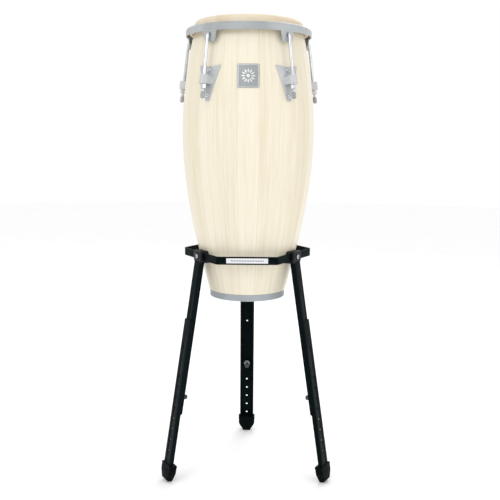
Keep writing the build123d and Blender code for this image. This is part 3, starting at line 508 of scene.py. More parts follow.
wood = stave_wood("stave_wood", (0.80, 0.755, 0.625), (0.78, 0.725, 0.585), (0.74, 0.665, 0.515), 0.22)
raw_wood = stave_wood("raw_stave_wood", (0.84, 0.72, 0.54), (0.77, 0.63, 0.45), (0.66, 0.51, 0.34), 0.0)
head_hide = hide("head_hide")
grey_coat = coated_metal("grey_coat", (0.37, 0.395, 0.405), (0.58, 0.59, 0.60), 0.36)
band_coat = coated_metal("band_coat", (0.335, 0.37, 0.39), (0.55, 0.56, 0.57), 0.45)
chrome = bright_metal("chrome", (0.66, 0.67, 0.69), 0.17)
zinc = bright_metal("zinc_plate", (0.42, 0.44, 0.45), 0.32)
raw_steel = bright_metal("raw_steel", (0.50, 0.49, 0.47), 0.42, (1, 1, 0.1))
badge_enamel = coated_metal("badge_enamel", (0.31, 0.335, 0.345), (0.45, 0.46, 0.47), 0.28)
badge_relief = bright_metal("badge_relief", (0.86, 0.86, 0.84), 0.34)
plate_coat = coated_metal("plate_coat", (0.49, 0.51, 0.52), (0.62, 0.63, 0.64), 0.38)
black_coat = coated_metal(
    "black_powder_coat", (0.0012, 0.0030, 0.0036), (0.009, 0.013, 0.015), 0.50, gloss=0.05, tint=(0.6, 0.9, 1)
)
clamp_plastic = moulded("clamp_plastic", (0.003, 0.005, 0.006), 0.42, 1400, 0.00004, gloss=0.15)
pad_rubber = moulded("pad_rubber", (0.006, 0.006, 0.006), 0.62, 900, 0.00005, gloss=0.25)
boot_rubber = moulded(
    "boot_rubber", (0.0012, 0.0024, 0.0028), 0.50, 1100, 0.00004, gloss=0.04, dust_share=0.01
)
knob_plastic = moulded("knob_plastic", (0.025, 0.038, 0.046), 0.30, 1500, 0.00003)
cap_rubber = moulded("cap_rubber", (0.28, 0.285, 0.29), 0.45, 1200, 0.00004)
label_film = film("label_film", (0.72, 0.73, 0.76))
label_ink = film("label_ink", (0.05, 0.055, 0.06))


# ================================================================ the drum's surface
def shell_radius(height):
    """Outer radius of the shell: a hyperbola on each side of the belly."""
    below = height < BELLY_HEIGHT
    slope, bend = (LOWER_SLOPE, LOWER_BEND) if below else (UPPER_SLOPE, UPPER_BEND)
    return BELLY_RADIUS + bend - hypot(bend, slope * (height - BELLY_HEIGHT))


def on_barrel(offset):
    """place() for a sheet that lies on the shell, seen from +X: u is sideways and v the height."""
    def place(across, height, depth):
        reach = shell_radius(height) + offset + depth
        return Vector((sqrt(reach * reach - across * across), across, DRUM_BASE + height))
    return place


def on_cylinder(radius):
    """The same on an upright cylinder."""
    def place(across, height, depth):
        reach = radius + depth
        return Vector((sqrt(reach * reach - across * across), across, DRUM_BASE + height))
    return place


def bearing_edge(offset, steps=10):
    """Points of the rounded top edge, from the side to the flat top, moved out by offset."""
    side = Vector((shell_radius(SHELL_SHOULDER) + offset, SHELL_SHOULDER))
    top = Vector((BEARING_RADIUS, SHELL_TOP + offset))
    rise, run = top.y - side.y, side.x - top.x
    return [
        (side.x - run * (1 - cos(pi / 2 * step / steps)), side.y + rise * sin(pi / 2 * step / steps))
        for step in range(1, steps + 1)
    ]


lift = Matrix.Translation((0, 0, DRUM_BASE))


def build_shell():
    outer = [(shell_radius(height), height) for height in span(BAND_HEIGHT, SHELL_SHOULDER, 72)]
    outer += bearing_edge(0)
    inner = [(shell_radius(height) - SHELL_WALL, height) for height in span(SHELL_TOP - 2, 1.5, 48)]
    foot = [(inner[-1][0] + 1.2, 0), (BAND_INNER - 0.8, 0), (BAND_INNER, 0.8), (BAND_INNER, BAND_HEIGHT)]
    bm = bmesh.new()
    profile = outer + [(BEARING_RADIUS - 1.2, SHELL_TOP)] + inner + foot
    rows = [ring(radius, height, 240, lift) for radius, height in profile]
    skin(bm, rows, loop=True)
    for face in bm.faces:
        centre = face.calc_center_median()
        wall = shell_radius(centre.z - DRUM_BASE) - hypot(centre.x, centre.y)
        face.material_index = 1 if wall > SHELL_WALL * 0.7 else 0
    make("drum_shell", bm, "drum", [wood, raw_wood], ["shell_staves"], crease=50)


def build_band():
    bm = bmesh.new()
    inner = BAND_INNER + 0.2
    wall = [(BAND_OUTER, 0), (BAND_OUTER, BAND_HEIGHT), (inner, BAND_HEIGHT), (inner, 0)]
    lathe(bm, rounded(wall, [1.2, 1.0, 0, 0], 4), 200, lift, loop=True)
    proud, sunk = BAND_OUTER + 0.25, BAND_OUTER - 0.6
    low_bead = rounded([(proud, 3.4), (proud, 5.0), (sunk, 5.0), (sunk, 3.4)], 0.35, 3)
    high_bead = [(radius, height + BAND_HEIGHT - 8.4) for radius, height in low_bead]
    for bead in (low_bead, high_bead):
        lathe(bm, bead, 200, lift, loop=True)
    make("foot_band", bm, "drum", [band_coat], ["bottom_band"])


def drop_hoop_caps(bm):
    """Remove the flat caps below the shell's top that lathe() puts on an open profile."""
    for face in bm.faces[:]:
        if len(face.verts) > 4 and face.calc_center_median().z < DRUM_BASE + 700:
            bm.faces.remove(face)


def build_head():
    side_bottom = HOOP_HEIGHT + 2
    side = span(side_bottom, SHELL_SHOULDER, 6)
    top = SHELL_TOP + HEAD_THICKNESS
    outer = [(shell_radius(height) + HEAD_THICKNESS, height) for height in side]
    outer += bearing_edge(HEAD_THICKNESS)
    for share in (0.93, 0.8, 0.6, 0.4, 0.2, 0.03):
        outer.append((BEARING_RADIUS * share, top - HEAD_SAG * (1 - share * share)))
    wrap = HOOP_ROD + HEAD_THICKNESS - 0.2
    around_hoop = []
    for turn in span(radians(-150), radians(120), 18):
        around_hoop.append((HOOP_RADIUS + wrap * cos(turn), HOOP_HEIGHT + wrap * sin(turn)))
    bm = bmesh.new()
    lathe(bm, around_hoop + outer, 220, lift)
    drop_hoop_caps(bm)
    under = [(radius - 0.3, height - HEAD_THICKNESS * 0.5) for radius, height in outer]
    under[0] = (shell_radius(side_bottom) + 0.3, side_bottom)
    lathe(bm, under, 220, lift)
    drop_hoop_caps(bm)
    make("drum_head", bm, "drum", [head_hide], ["head_skin"], crease=60)


def build_rim():
    profile = rounded([
        (RIM_OUTER, RIM_BOTTOM),
        (RIM_OUTER, RIM_TOP),
        (RIM_LIP, RIM_TOP),
        (RIM_LIP, RIM_TOP - RIM_SHEET),
        (RIM_OUTER - RIM_SHEET, RIM_TOP - RIM_SHEET),
        (RIM_OUTER - RIM_SHEET, RIM_BOTTOM),
    ], [1.2, 8.0, 1.4, 1.4, 5.0, 1.2], 8)
    bm = bmesh.new()
    lathe(bm, profile, 240, lift, loop=True)
    make("counter_hoop", bm, "rim", [grey_coat], ["rim"], crease=60)

    outline = rounded([
        (EAR_TOP_WIDTH / 2, RIM_BOTTOM + 1.0),
        (EAR_BOTTOM_WIDTH / 2, EAR_BOTTOM),
        (-EAR_BOTTOM_WIDTH / 2, EAR_BOTTOM),
        (-EAR_TOP_WIDTH / 2, RIM_BOTTOM + 1.0),
    ], [0, 6, 6, 0], 6)
    ear = bmesh.new()
    cuts = [("u", across) for across in span(-18, 18, 12)]
    hole = circle(0, ARM_HEIGHT, ROD_RADIUS + 0.5)
    sheet(ear, [outline, hole], RIM_SHEET, on_cylinder(RIM_OUTER - RIM_SHEET), cuts, bevel=0.5)
    seam = [
        Vector((sqrt((RIM_OUTER + 0.1) ** 2 - y * y), y, DRUM_BASE + RIM_BOTTOM + 0.4 * sin(y * 1.7)))
        for y in span(-EAR_TOP_WIDTH / 2 + 1, EAR_TOP_WIDTH / 2 - 1, 60)
    ]
    tube(ear, seam, lambda row, turn: 0.9 + 0.18 * sin(row * 1.3), 8)
    make("hoop_ears", around(ear, LUG_ANGLES), "rim", [grey_coat], ["rim_ears"])


# ================================================================ tuning lugs
lean = atan((SEAT_RADIUS - ELBOW_RADIUS) / (ARM_HEIGHT - SEAT_HEIGHT))
rod_down = Vector((sin(lean), 0, -cos(lean)))
rod_out = Vector((cos(lean), 0, sin(lean)))
rod_seat = Vector((SEAT_RADIUS, 0, DRUM_BASE + SEAT_HEIGHT))


def frame_at(origin, x_axis, z_axis):
    """A matrix whose z axis and x axis point the given ways."""
    y_axis = z_axis.cross(x_axis)
    rotation = Matrix((x_axis, y_axis, z_axis)).transposed()
    return Matrix.Translation(origin) @ rotation.to_4x4()


rod_frame = frame_at(rod_seat, rod_out, rod_down)


def through(matrix, shift=0.0):
    """place() for a flat sheet in the matrix's plane, its thickness along z from shift."""
    return lambda u, v, w: matrix @ Vector((u, v, w + shift))


def hexagon(flats):
    """Distance from the centre of a hexagon to its side, at an angle."""
    return lambda turn: flats / 2 / cos((turn + pi / 6) % (pi / 3) - pi / 6)


def hex_body(bm, flats, height, start, place, bore=0.0, chamfer=1.1, count=48, washer_face=0.5):
    """A hexagon with both ends turned to a cone, as on a real nut, and a plain or open middle."""
    side = hexagon(flats)
    corner = flats / 2 / cos(pi / 6)

    def trimmed(limit):
        return lambda turn: min(side(turn), limit)
    rows = [
        ring(bore or 0.2, start, count, place),
        ring(flats / 2 * 0.93, start, count, place),
        ring(trimmed(corner - chamfer), start + washer_face * 0.4, count, place),
        ring(trimmed(corner - chamfer * 0.45), start + washer_face, count, place),
        ring(trimmed(corner), start + washer_face * 1.9, count, place),
        ring(trimmed(corner), start + height - washer_face * 1.9, count, place),
        ring(trimmed(corner - chamfer * 0.45), start + height - washer_face, count, place),
        ring(trimmed(corner - chamfer), start + height - washer_face * 0.4, count, place),
        ring(flats / 2 * 0.93, start + height, count, place),
        ring(bore or 0.2, start + height, count, place),
    ]
    skin(bm, rows, loop=bool(bore), caps=not bore)


def build_hooks():
    tip = RIM_OUTER - 10.5
    tail = SEAT_RADIUS + (SEAT_HEIGHT - TAIL_HEIGHT) * tan(lean)
    bends = rounded([
        (tip, ARM_HEIGHT + 8), (tip, ARM_HEIGHT), (ELBOW_RADIUS, ARM_HEIGHT), (tail, TAIL_HEIGHT),
    ], 5, 8, closed=False)
    route = [Vector((x, 0, DRUM_BASE + height)) for x, height in bends]
    thread_top = rod_seat - rod_down * 22
    end = route.pop()
    length = (end - thread_top).length
    turns = span(0, length, int(length / THREAD_PITCH * 6))
    plain_rows = len(route)
    route += [thread_top + rod_down * place for place in turns]

    def thread(row, turn):
        if row < plain_rows:
            return ROD_RADIUS if row else ROD_RADIUS - 0.8
        place = turns[row - plain_rows]
        wave = (place / THREAD_PITCH - turn / (2 * pi)) % 1
        depth = THREAD_DEPTH * abs(2 * wave - 1) * min(1, place / 3)
        taper = max(0, 1.6 - (length - place)) * 0.9
        return ROD_RADIUS - depth - taper
    hook = bmesh.new()
    tube(hook, route, thread, 24)
    hooks = around(hook, LUG_ANGLES)
    make("tuning_hook_rods", hooks, "rim", [chrome], ["tuning_hooks"], crease=70)


def build_caps():
    profile = [
        (ROD_RADIUS + 0.1, CAP_START), (CAP_RADIUS - 0.6, CAP_START), (CAP_RADIUS - 0.15, CAP_START + 0.2),
        (CAP_RADIUS, CAP_START + 0.7), (CAP_RADIUS, CAP_START + 2.2), (CAP_RADIUS - 0.5, CAP_START + 2.8),
        (CAP_RADIUS - 0.5, CAP_START + 3.4), (CAP_RADIUS, CAP_START + 4.0),
    ]
    dome = CAP_END - 4.2
    profile += [(CAP_RADIUS * cos(turn), dome + 4.2 * sin(turn)) for turn in span(0, radians(86), 10)]
    cap = bmesh.new()
    lathe(cap, profile, 40, rod_frame)
    make("rod_tail_caps", around(cap, LUG_ANGLES), "rim", [cap_rubber], ["hook_tail_caps"])


def build_nuts():
    nut = bmesh.new()
    hex_body(nut, NUT_FLATS, NUT_HEIGHT, NUT_START, rod_frame, bore=NUT_BORE)
    for number, angle in enumerate(LUG_ANGLES, start=1):
        cad_name = f"tuning_nut_{number}"
        make(f"hex_nut_{number}", nut, cad_name, [chrome], [cad_name], turn=angle, crease=25)

    washer = bmesh.new()
    face = [(4.75, -1.5), (11, -1.5), (11, 0.5), (4.75, 0.5)]
    lathe(washer, rounded(face, [0.2, 0.7, 0.7, 0.2], 4), 48, rod_frame, loop=True)
    make("hook_washer_discs", around(washer, LUG_ANGLES), "drum", [chrome], ["hook_washers"])


def build_plates():
    dip = [
        (across, PLATE_TOP - PLATE_DIP * (1 - (2 * across / PLATE_TOP_WIDTH) ** 2))
        for across in span(-PLATE_TOP_WIDTH / 2 + 4, PLATE_TOP_WIDTH / 2 - 4, 14)
    ]
    corner = PLATE_TOP_WIDTH / 2
    outline = dip + rounded([
        dip[-1], (corner, PLATE_TOP), (PLATE_TIP_WIDTH / 2, PLATE_TIP),
        (-PLATE_TIP_WIDTH / 2, PLATE_TIP), (-corner, PLATE_TOP), dip[0],
    ], [0, 2.2, 4.5, 4.5, 2.2, 0], 5)[1:-1]
    cuts = [("u", across) for across in span(-30, 30, 15)]
    cuts += [("v", height) for height in span(PLATE_TIP + 6, PLATE_TOP - 6, 9)]
    plate = bmesh.new()
    sheet(plate, [outline], PLATE_SHEET, on_barrel(0.05), cuts, bevel=0.6, segments=3)
    make("lug_plates", around(plate, LUG_ANGLES), "drum", [plate_coat], ["side_plates"])

    receiver = bmesh.new()
    nose = [(RECEIVER_RADIUS * cos(turn), RECEIVER_RADIUS * sin(turn)) for turn in span(-pi / 2, pi / 2, 16)]
    outline = nose + [(-RECEIVER_DEPTH, RECEIVER_RADIUS), (-RECEIVER_DEPTH, -RECEIVER_RADIUS)]
    bore = circle(0, 0, RECEIVER_BORE)
    sheet(receiver, [outline, bore], 20, through(rod_frame, -21.5), bevel=0.9, segments=3)
    foot = rectangle((-RECEIVER_DEPTH - 14) / 2, 0, RECEIVER_DEPTH - 14, RECEIVER_FOOT, 1.5, 3)
    sheet(receiver, [foot], 16, through(rod_frame, -19.5), bevel=0.6)
    receivers = around(receiver, LUG_ANGLES)
    make("hook_receivers", receivers, "drum", [plate_coat], ["lug_receivers"])


def shell_normal(height):
    """Unit vector straight out of the shell at a height, on the +X side."""
    steepness = (shell_radius(height + 1) - shell_radius(height - 1)) / 2
    return Vector((1, 0, -steepness)).normalized()


def build_plate_bolts():
    heads, inner = bmesh.new(), bmesh.new()
    for height in PLATE_BOLT_HEIGHTS:
        out = shell_normal(height)
        foot = Vector((shell_radius(height), 0, DRUM_BASE + height))
        place = frame_at(foot, Vector((0, 1, 0)), out)
        socket = hexagon(BOLT_SOCKET)
        bolt = [(0.2, PLATE_SHEET + 1.4), (socket, PLATE_SHEET + 1.4), (socket, PLATE_SHEET + 3.15)]
        for turn in span(0.25, pi / 2, 7)[1:]:
            bolt.append((PLATE_BOLT_HEAD * sin(turn), PLATE_SHEET + 0.9 + 2.3 * cos(turn)))
        bolt += [(PLATE_BOLT_HEAD, PLATE_SHEET + 0.1), (PLATE_BOLT_RADIUS, PLATE_SHEET)]
        bolt += [(PLATE_BOLT_RADIUS, -SHELL_WALL - 8.5), (PLATE_BOLT_RADIUS - 0.6, -SHELL_WALL - 9)]
        lathe(heads, bolt, 36, place)
        deep, shallow = -SHELL_WALL - 2.0, -SHELL_WALL - 0.5
        hole, edge = INNER_WASHER_HOLE, INNER_WASHER_RADIUS
        washer = [(hole, deep), (edge, deep), (edge, shallow), (hole, shallow)]
        lathe(inner, rounded(washer, [0.1, 0.5, 0.5, 0.1], 3), 36, place, loop=True)
        hex_body(inner, 10, 5, -SHELL_WALL - 7.0, place, bore=PLATE_BOLT_RADIUS)
    make("plate_bolt_heads", around(heads, LUG_ANGLES), "drum", [chrome], ["plate_bolts"])
    make(
        "inner_nuts_and_washers", around(inner, LUG_ANGLES), "drum", [zinc],
        ["plate_washers", "plate_nuts"], crease=25,
    )


def build_badge():
    middle = (BADGE_BOTTOM + BADGE_TOP) / 2
    height = BADGE_TOP - BADGE_BOTTOM
    cuts = [("u", across) for across in span(-24, 24, 16)]
    cuts += [("v", place) for place in span(BADGE_BOTTOM + 6, BADGE_TOP - 6, 5)]
    bm = bmesh.new()
    outline = rectangle(0, middle, BADGE_WIDTH, height, 3.2)
    sheet(bm, [outline], BADGE_SHEET, on_barrel(0.1), cuts, bevel=0.35, segments=3)
    border = [rectangle(0, middle, BADGE_WIDTH - 3.4, height - 3.4, 2.4),
              rectangle(0, middle, BADGE_WIDTH - 5.4, height - 5.4, 1.8)]
    raised = on_barrel(BADGE_SHEET - 0.05)
    sheet(bm, border, 0.5, raised, cuts, bevel=0.12, material=1)
    petals = 12
    for petal in range(petals):
        turn = 2 * pi * petal / petals
        way, side = Vector((cos(turn), sin(turn))), Vector((-sin(turn), cos(turn)))
        centre = Vector((0, middle))
        widest = centre + way * 12
        leaf = [centre + way * 6.5, widest - side * 2.3, centre + way * 18.5, widest + side * 2.3]
        sheet(bm, [rounded(leaf, 0.5, 3)], 0.5, raised, (), bevel=0.12, material=1)
    sheet(bm, [circle(0, middle, 4.2)], 0.6, raised, (), bevel=0.25, material=1)
    place = Matrix.Rotation(radians(-90), 4, "Z")
    turned = bmesh.new()
    join(turned, bm, place)
    make("front_badge", turned, "drum", [badge_enamel, badge_relief], ["badge"])


# ================================================================ the stand's ring
def build_strap():
    corners = [(0, STRAP_LEG_APOTHEM)]
    half = (STRAP_FREE_APOTHEM - STRAP_LEG_APOTHEM * cos(radians(60))) / sin(radians(60))
    reach, swing = hypot(half, STRAP_LEG_APOTHEM), atan2(half, STRAP_LEG_APOTHEM)
    turns = [radians(leg) + side * swing for leg in (90, 210, 330, 450) for side in (-1, 1)]
    corners += [(reach * cos(turn), reach * sin(turn)) for turn in turns[1:-1]]
    corners.append((0, STRAP_LEG_APOTHEM))
    rows = bent_line(corners, STRAP_BEND, closed=False, steps=8)
    total = rows[-1][0]
    middle = (STRAP_TOP + STRAP_BOTTOM) / 2
    outline = rectangle(total / 2, middle, total, STRAP_TOP - STRAP_BOTTOM, 0.01, 1)
    holes = []
    for centre in (0, total / 3, total * 2 / 3, total):
        for side in (-STRAP_HOLE_SPACING, STRAP_HOLE_SPACING):
            if 0 < centre + side < total:
                holes.append(circle(centre + side, middle, 2.5, 20))

    def place(length, height, depth):
        point = along(rows, length, STRAP_SHEET - depth)
        return Vector((point.x, point.y, height))
    cuts = [("u", length) for length, _, _ in rows[1:-1]]
    bm = bmesh.new()
    sheet(bm, [outline] + holes, STRAP_SHEET, place, cuts, bevel=0.6, segments=3)
    make("hex_ring", bm, "stand", [black_coat], ["ring_strap"])


def build_label():
    middle = (STRAP_TOP + STRAP_BOTTOM) / 2

    def place(across, height, depth):
        return Vector((across, -STRAP_FREE_APOTHEM - depth, height))
    bm = bmesh.new()
    blank = rectangle(0, middle, LABEL_WIDTH, LABEL_HEIGHT, 1.2)
    sheet(bm, [blank], LABEL_SHEET - 0.05, place, (), bevel=0.12)

    def printed(across, height, depth):
        return Vector((across, -STRAP_FREE_APOTHEM - LABEL_SHEET + 0.03 - depth, height))
    for across in span(-40, 40, 20):
        lozenge = [(across + u, middle + v) for u, v in ((1.5, 0), (0, 2.2), (-1.5, 0), (0, -2.2))]
        sheet(bm, [lozenge], 0.03, printed, (), bevel=0, material=1)
    make("ring_front_label", bm, "stand", [label_film, label_ink], ["ring_label"])


# ================================================================ the legs
leg_out = Vector((cos(SPLAY), 0, sin(SPLAY)))
leg_down = Vector((sin(SPLAY), 0, -cos(SPLAY)))
leg_origin = Vector((LEG_RADIUS, 0, DRUM_BASE))


def channel(width, depth, out, outline_of, holes):
    """A folded channel: its flat blank is cut to shape, then bent along the leg."""
    corners = [(out - depth, width / 2), (out, width / 2), (out, -width / 2), (out - depth, -width / 2)]
    rows = bent_line(corners, 3.0, closed=False, steps=6)
    total = rows[-1][0]

    def place(across, down, height):
        point = along(rows, across + total / 2, LEG_SHEET - height)
        return leg_origin + leg_out * point.x + Vector((0, point.y, 0)) + leg_down * down
    cuts = [("u", length - total / 2) for length, _, _ in rows[1:-1]]
    bm = bmesh.new()
    outline = outline_of(total / 2, width / 2)
    sheet(bm, [outline] + holes, LEG_SHEET, place, cuts, bevel=0.45, segments=2)
    return bm


def build_legs():
    def upper_outline(half, web):
        return rounded([
            (half, FLANGE_TOP), (half, UPPER_END - 4), (web - 1, UPPER_END),
            (-web + 1, UPPER_END), (-half, UPPER_END - 4), (-half, FLANGE_TOP),
            (-web, FLANGE_TOP), (-web, UPPER_TOP), (web, UPPER_TOP), (web, FLANGE_TOP),
        ], [1, 2, 5, 5, 2, 1, 0, 1, 1, 0], 5)

    def lower_outline(half, web):
        return rounded([
            (half, LOWER_TOP + 4), (half, LOWER_END), (-half, LOWER_END),
            (-half, LOWER_TOP + 4), (-web + 1, LOWER_TOP), (web - 1, LOWER_TOP),
        ], [2, 1, 1, 2, 5, 5], 5)
    upper_holes = [circle(0, PIN_PLACE, LEG_HOLE), circle(0, GUIDE_HOLE, LEG_HOLE)]
    upper = channel(UPPER_WIDTH, UPPER_DEPTH, 0, upper_outline, upper_holes)
    places = [PIN_PLACE + HOLE_PITCH * step for step in range(-2, 7)] + [GUIDE_HOLE]
    lower_holes = [circle(0, place, LEG_HOLE) for place in places]
    lower = channel(LOWER_WIDTH, LOWER_DEPTH, LOWER_OUT, lower_outline, lower_holes)
    for name, angle in LEGS.items():
        cad_name = f"upper_leg_{name}"
        make(f"upper_channel_{name}", upper, "stand", [black_coat], [cad_name], turn=angle)
        body = f"lower_leg_{name}"
        make(f"lower_channel_{name}", lower, body, [black_coat], [body], turn=angle)


def leg_frame(place, depth):
    """z points out of the leg, x down it, at a distance down and out of the outer face."""
    return frame_at(leg_origin + leg_down * place + leg_out * depth, leg_down, leg_out)


def build_boots():
    side = [(BOOT_TOP, BOOT_WIDTH / 2), (BOOT_SHOULDER, BOOT_WIDTH / 2), (BOOT_TIP, BOOT_TIP_WIDTH / 2)]
    corners = [BOOT_TOP_CORNER, BOOT_SHOULDER_CORNER, 0.5]
    outline = rounded(mirrored(side), corners + corners[::-1], 8)
    flat = leg_frame(0, BOOT_INNER)
    blank = bmesh.new()
    sheet(blank, [outline], BOOT_OUTER - BOOT_INNER, through(flat), (), bevel=2.4, segments=4)
    cuts = [
        (Vector((BOOT_CUT, 0, 0)), Vector((0, 0, -1))),
        (Vector((BOOT_CUT, 0, 0)), Vector((1, 0, -1)).normalized()),
    ]
    for point, normal in cuts:
        everything = blank.verts[:] + blank.edges[:] + blank.faces[:]
        cut = bmesh.ops.bisect_plane(
            blank, geom=everything, plane_co=point, plane_no=normal, clear_outer=True
        )["geom_cut"]
        lip = [part for part in cut if isinstance(part, bmesh.types.BMEdge)]
        bmesh.ops.contextual_create(blank, geom=lip)
    half, start, end = BOOT_WIDTH / 2 + COLLAR_PROUD, BOOT_TOP - 0.5, BOOT_TOP + 5.5
    collar = rounded(mirrored([(start, half), (end, half)]), [2.5, 1, 1, 2.5], 5)
    thickness = BOOT_OUTER - BOOT_INNER + 2 * COLLAR_PROUD
    inside = leg_frame(0, BOOT_INNER - COLLAR_PROUD)
    sheet(blank, [collar], thickness, through(inside), (), bevel=1.4, segments=3)
    for step in range(3):
        place = BOOT_TOP + 12 + 5 * step
        half = BOOT_WIDTH / 2 - 7
        rib = rectangle(place, 0, 1.8, 2 * half, 0.8, 3)
        sheet(blank, [rib], 0.9, through(leg_frame(0, BOOT_OUTER - 0.3)), (), bevel=0.35, segments=2)
    for name, angle in LEGS.items():
        make(
            f"rubber_boot_{name}", blank, f"lower_leg_{name}", [boot_rubber],
            [f"foot_{name}"], turn=angle,
        )


def build_locks():
    place = leg_frame(PIN_PLACE, 0)
    pin = bmesh.new()
    nose = [(0.3, 0), (1.4, 0.1), (2.1, 0.4), (2.5, 1.0), (PIN_RADIUS, 1.5)]
    lathe(pin, [(radius, PIN_TIP - back) for radius, back in nose] + [
        (PIN_RADIUS, -2.9), (PIN_COLLAR - 0.1, -2.9), (PIN_COLLAR, -3.1), (PIN_COLLAR, -4.2),
        (PIN_COLLAR - 0.2, -4.4), (PIN_RADIUS, -4.4), (PIN_RADIUS, KNOB_START - 4.8),
    ], 36, place)
    knob = bmesh.new()

    def grip(radius, depth):
        return lambda turn: radius - depth * (0.5 + 0.5 * cos(turn * KNOB_GRIPS))
    leg_end = [(PIN_RADIUS, 0), (5.3, 0), (6.0, -0.5)]
    grooved = [(6.4, 0.1, -1.2), (6.4, 0.5, -2.2), (6.4, 0.5, -6.9), (6.3, 0.2, -7.9)]
    dome = [(5.9, 1.7), (5.2, 0.7), (4.2, 0.1), (3.7, 0), (3.4, 0.4), (0.3, 0.5)]
    rows = [ring(radius, KNOB_START + ahead, 108, place) for radius, ahead in leg_end]
    rows += [ring(grip(radius, depth), KNOB_START + ahead, 108, place) for radius, depth, ahead in grooved]
    rows += [ring(radius, KNOB_END + back, 108, place) for radius, back in dome]
    skin(knob, rows, caps=True)
    barrel = bmesh.new()
    lathe(barrel, rounded(
        [(BARREL_BORE, -LEG_SHEET), (BARREL_FLANGE, -LEG_SHEET), (BARREL_FLANGE, -4.4), (BARREL_RADIUS, -4.4),
         (BARREL_RADIUS, BARREL_END), (PIN_RADIUS + 0.15, BARREL_END),
         (PIN_RADIUS + 0.15, BARREL_END + BARREL_WALL), (BARREL_BORE, BARREL_END + BARREL_WALL)],
        [0, 0.5, 0.6, 0.8, 0.7, 0.2, 0, 0], 4,
    ), 48, place, loop=True)
    hex_body(barrel, 15, 3.4, -7.8, place, bore=6.0)
    for name, angle in LEGS.items():
        body = f"lock_pin_{name}"
        make(f"spring_pin_{name}", pin, body, [zinc], [body], turn=angle)
        knob_node = f"pull_knob_{name}"
        make(
            f"grip_knob_{name}", knob, body, [knob_plastic], [knob_node],
            turn=angle, crease=50,
        )
    angles = list(LEGS.values())
    make("lock_barrels", around(barrel, angles), "stand", [zinc], ["pin_barrels"], crease=30)


# ================================================================ the clamps
def build_clamps():
    half, high, low = CLAMP_WIDTH / 2, CLAMP_TOP, CLAMP_BOTTOM

    def outwards(across, height, depth):
        return Vector((CLAMP_INNER + depth, across, height))
    outline = rounded([
        (half, high), (-half, high), (-half, low + 9), (-17.5, low), (17.5, low), (half, low + 9),
    ], [6, 6, 5, 3, 3, 5], 6)
    cover = bmesh.new()
    depth = CLAMP_OUTER - CLAMP_INNER
    sheet(cover, [outline], depth, outwards, (), bevel=3.2, segments=5)

    def raised(across, height, depth_in):
        return Vector((CLAMP_OUTER - 0.4 + depth_in, across, height))
    collar = [circle(0, CLAMP_BOLT_HEIGHT, radius, 36) for radius in (9, 7.4)]
    sheet(cover, collar, 1.1, raised, (), bevel=0.35, segments=2)
    angles = list(LEGS.values())
    make("clamp_shells", around(cover, angles), "stand", [clamp_plastic], ["clamp_covers"])

    bolt = bmesh.new()
    place = frame_at(Vector((CLAMP_OUTER, 0, CLAMP_BOLT_HEIGHT)), Vector((0, 1, 0)), Vector((1, 0, 0)))
    socket = hexagon(BOLT_SOCKET)
    profile = [(0.2, 1.6), (socket, 1.6), (socket, 3.9)]
    profile += [(CLAMP_BOLT_HEAD * sin(turn), 1.0 + 3.0 * cos(turn)) for turn in span(0.45, pi / 2, 8)]
    profile += [(CLAMP_BOLT_HEAD, 0.1), (CLAMP_BOLT_RADIUS, 0)]
    profile += [(CLAMP_BOLT_RADIUS, -19), (CLAMP_BOLT_RADIUS - 0.5, -19.5)]
    lathe(bolt, profile, 48, place)
    make("clamp_bolt_heads", around(bolt, angles), "stand", [zinc], ["clamp_bolts"])


def paint_kept_nodes():
    """CAD pieces whose shape stays get their own finish."""
    finishes = {"flesh_hoop": raw_steel, "rest_pads": pad_rubber, "clamp_nuts": zinc}
    finishes.update({f"pin_spring_{name}": raw_steel for name in LEGS})
    for name, material in finishes.items():
        for material_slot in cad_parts[name].material_slots:
            material_slot.material = material


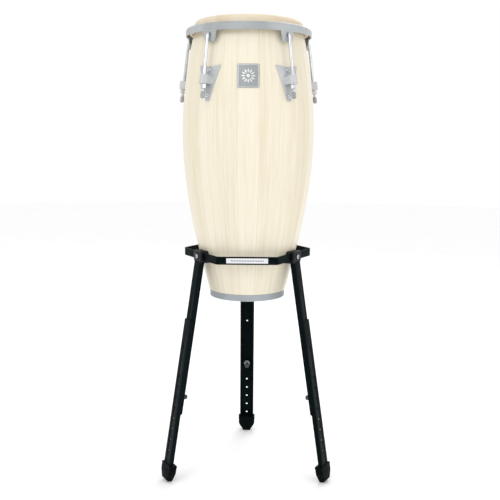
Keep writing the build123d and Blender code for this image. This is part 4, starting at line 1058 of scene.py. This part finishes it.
# ================================================================ stage
def build_stage():
    """A wide, pale, level floor."""
    bm = bmesh.new()
    reaches = (0.4, 0.8, 1.6, 3.2, FLOOR_RADIUS)
    rows = [[bm.verts.new(point) for point in ring(reach, 0.0, 96)] for reach in reaches]
    bm.faces.new(rows[0])
    for low, high in zip(rows, rows[1:]):
        for here in range(len(low)):
            there = (here + 1) % len(low)
            bm.faces.new((low[here], high[here], high[there], low[there]))
    mesh = bpy.data.meshes.new("studio_floor")
    bm.to_mesh(mesh)
    floor = bpy.data.objects.new("studio_floor", mesh)
    bpy.context.scene.collection.objects.link(floor)
    material, tree, shader = new_material("studio_paper", Roughness=0.9, Specular_IOR_Level=0.2)
    paper = noise(tree, stretched(tree, (1, 1, 1)), 6, 3)
    shades = [(0.3, (0.965, 0.965, 0.965)), (0.7, (0.985, 0.985, 0.985))]
    wire(tree, shader, Base_Color=ramp(tree, paper, shades))
    mesh.materials.append(material)


def add_light(name, location, target, size, power, colour=(1, 1, 1)):
    light = bpy.data.lights.new(name, "AREA")
    light.shape, light.size, light.energy, light.color = "SQUARE", size, power, colour
    lamp = bpy.data.objects.new(name, light)
    bpy.context.scene.collection.objects.link(lamp)
    lamp.location = location
    lamp.rotation_euler = (Vector(target) - Vector(location)).to_track_quat("-Z", "Y").to_euler()


def build_lights():
    world = bpy.data.worlds.new("studio_world")
    bpy.context.scene.world = world
    world.use_nodes = True
    background = world.node_tree.nodes["Background"]
    background.inputs["Color"].default_value = (1, 1, 1, 1)
    background.inputs["Strength"].default_value = 1.0
    middle = (0, 0, 0.75)
    add_light("key_light", (-1.9, -2.3, 2.6), middle, 1.6, 19)
    add_light("fill_light", (2.4, -1.9, 1.5), middle, 1.8, 13)
    add_light("back_light", (0.6, 2.2, 2.6), middle, 1.6, 22)


def build_camera():
    """The viewpoint: how far off, how high and how far to the side, and its small tilt."""
    distance, height, aside = 1.994, 0.8973, 0.0069
    pitch, roll = radians(8.35), radians(0.40)
    forward = Vector((0, cos(pitch), -sin(pitch)))
    up = Vector((0, sin(pitch), cos(pitch)))
    right = Vector((1, 0, 0))
    tilted_right = right * cos(roll) + up * sin(roll)
    tilted_up = up * cos(roll) - right * sin(roll)
    data = bpy.data.cameras.new("camera")
    data.sensor_width, data.lens = 36.0, 53.56
    camera = bpy.data.objects.new("camera", data)
    bpy.context.scene.collection.objects.link(camera)
    rotation = Matrix((tilted_right, tilted_up, -forward)).transposed()
    camera.matrix_world = Matrix.Translation((aside, -distance, height)) @ rotation.to_4x4()
    bpy.context.scene.camera = camera


build_camera()
build_shell()
build_band()
build_head()
build_rim()
build_hooks()
build_caps()
build_nuts()
build_plates()
build_plate_bolts()
build_badge()
build_strap()
build_label()
build_legs()
build_boots()
build_locks()
build_clamps()
paint_kept_nodes()
build_stage()
build_lights()
bpy.context.scene.view_settings.view_transform = "Standard"
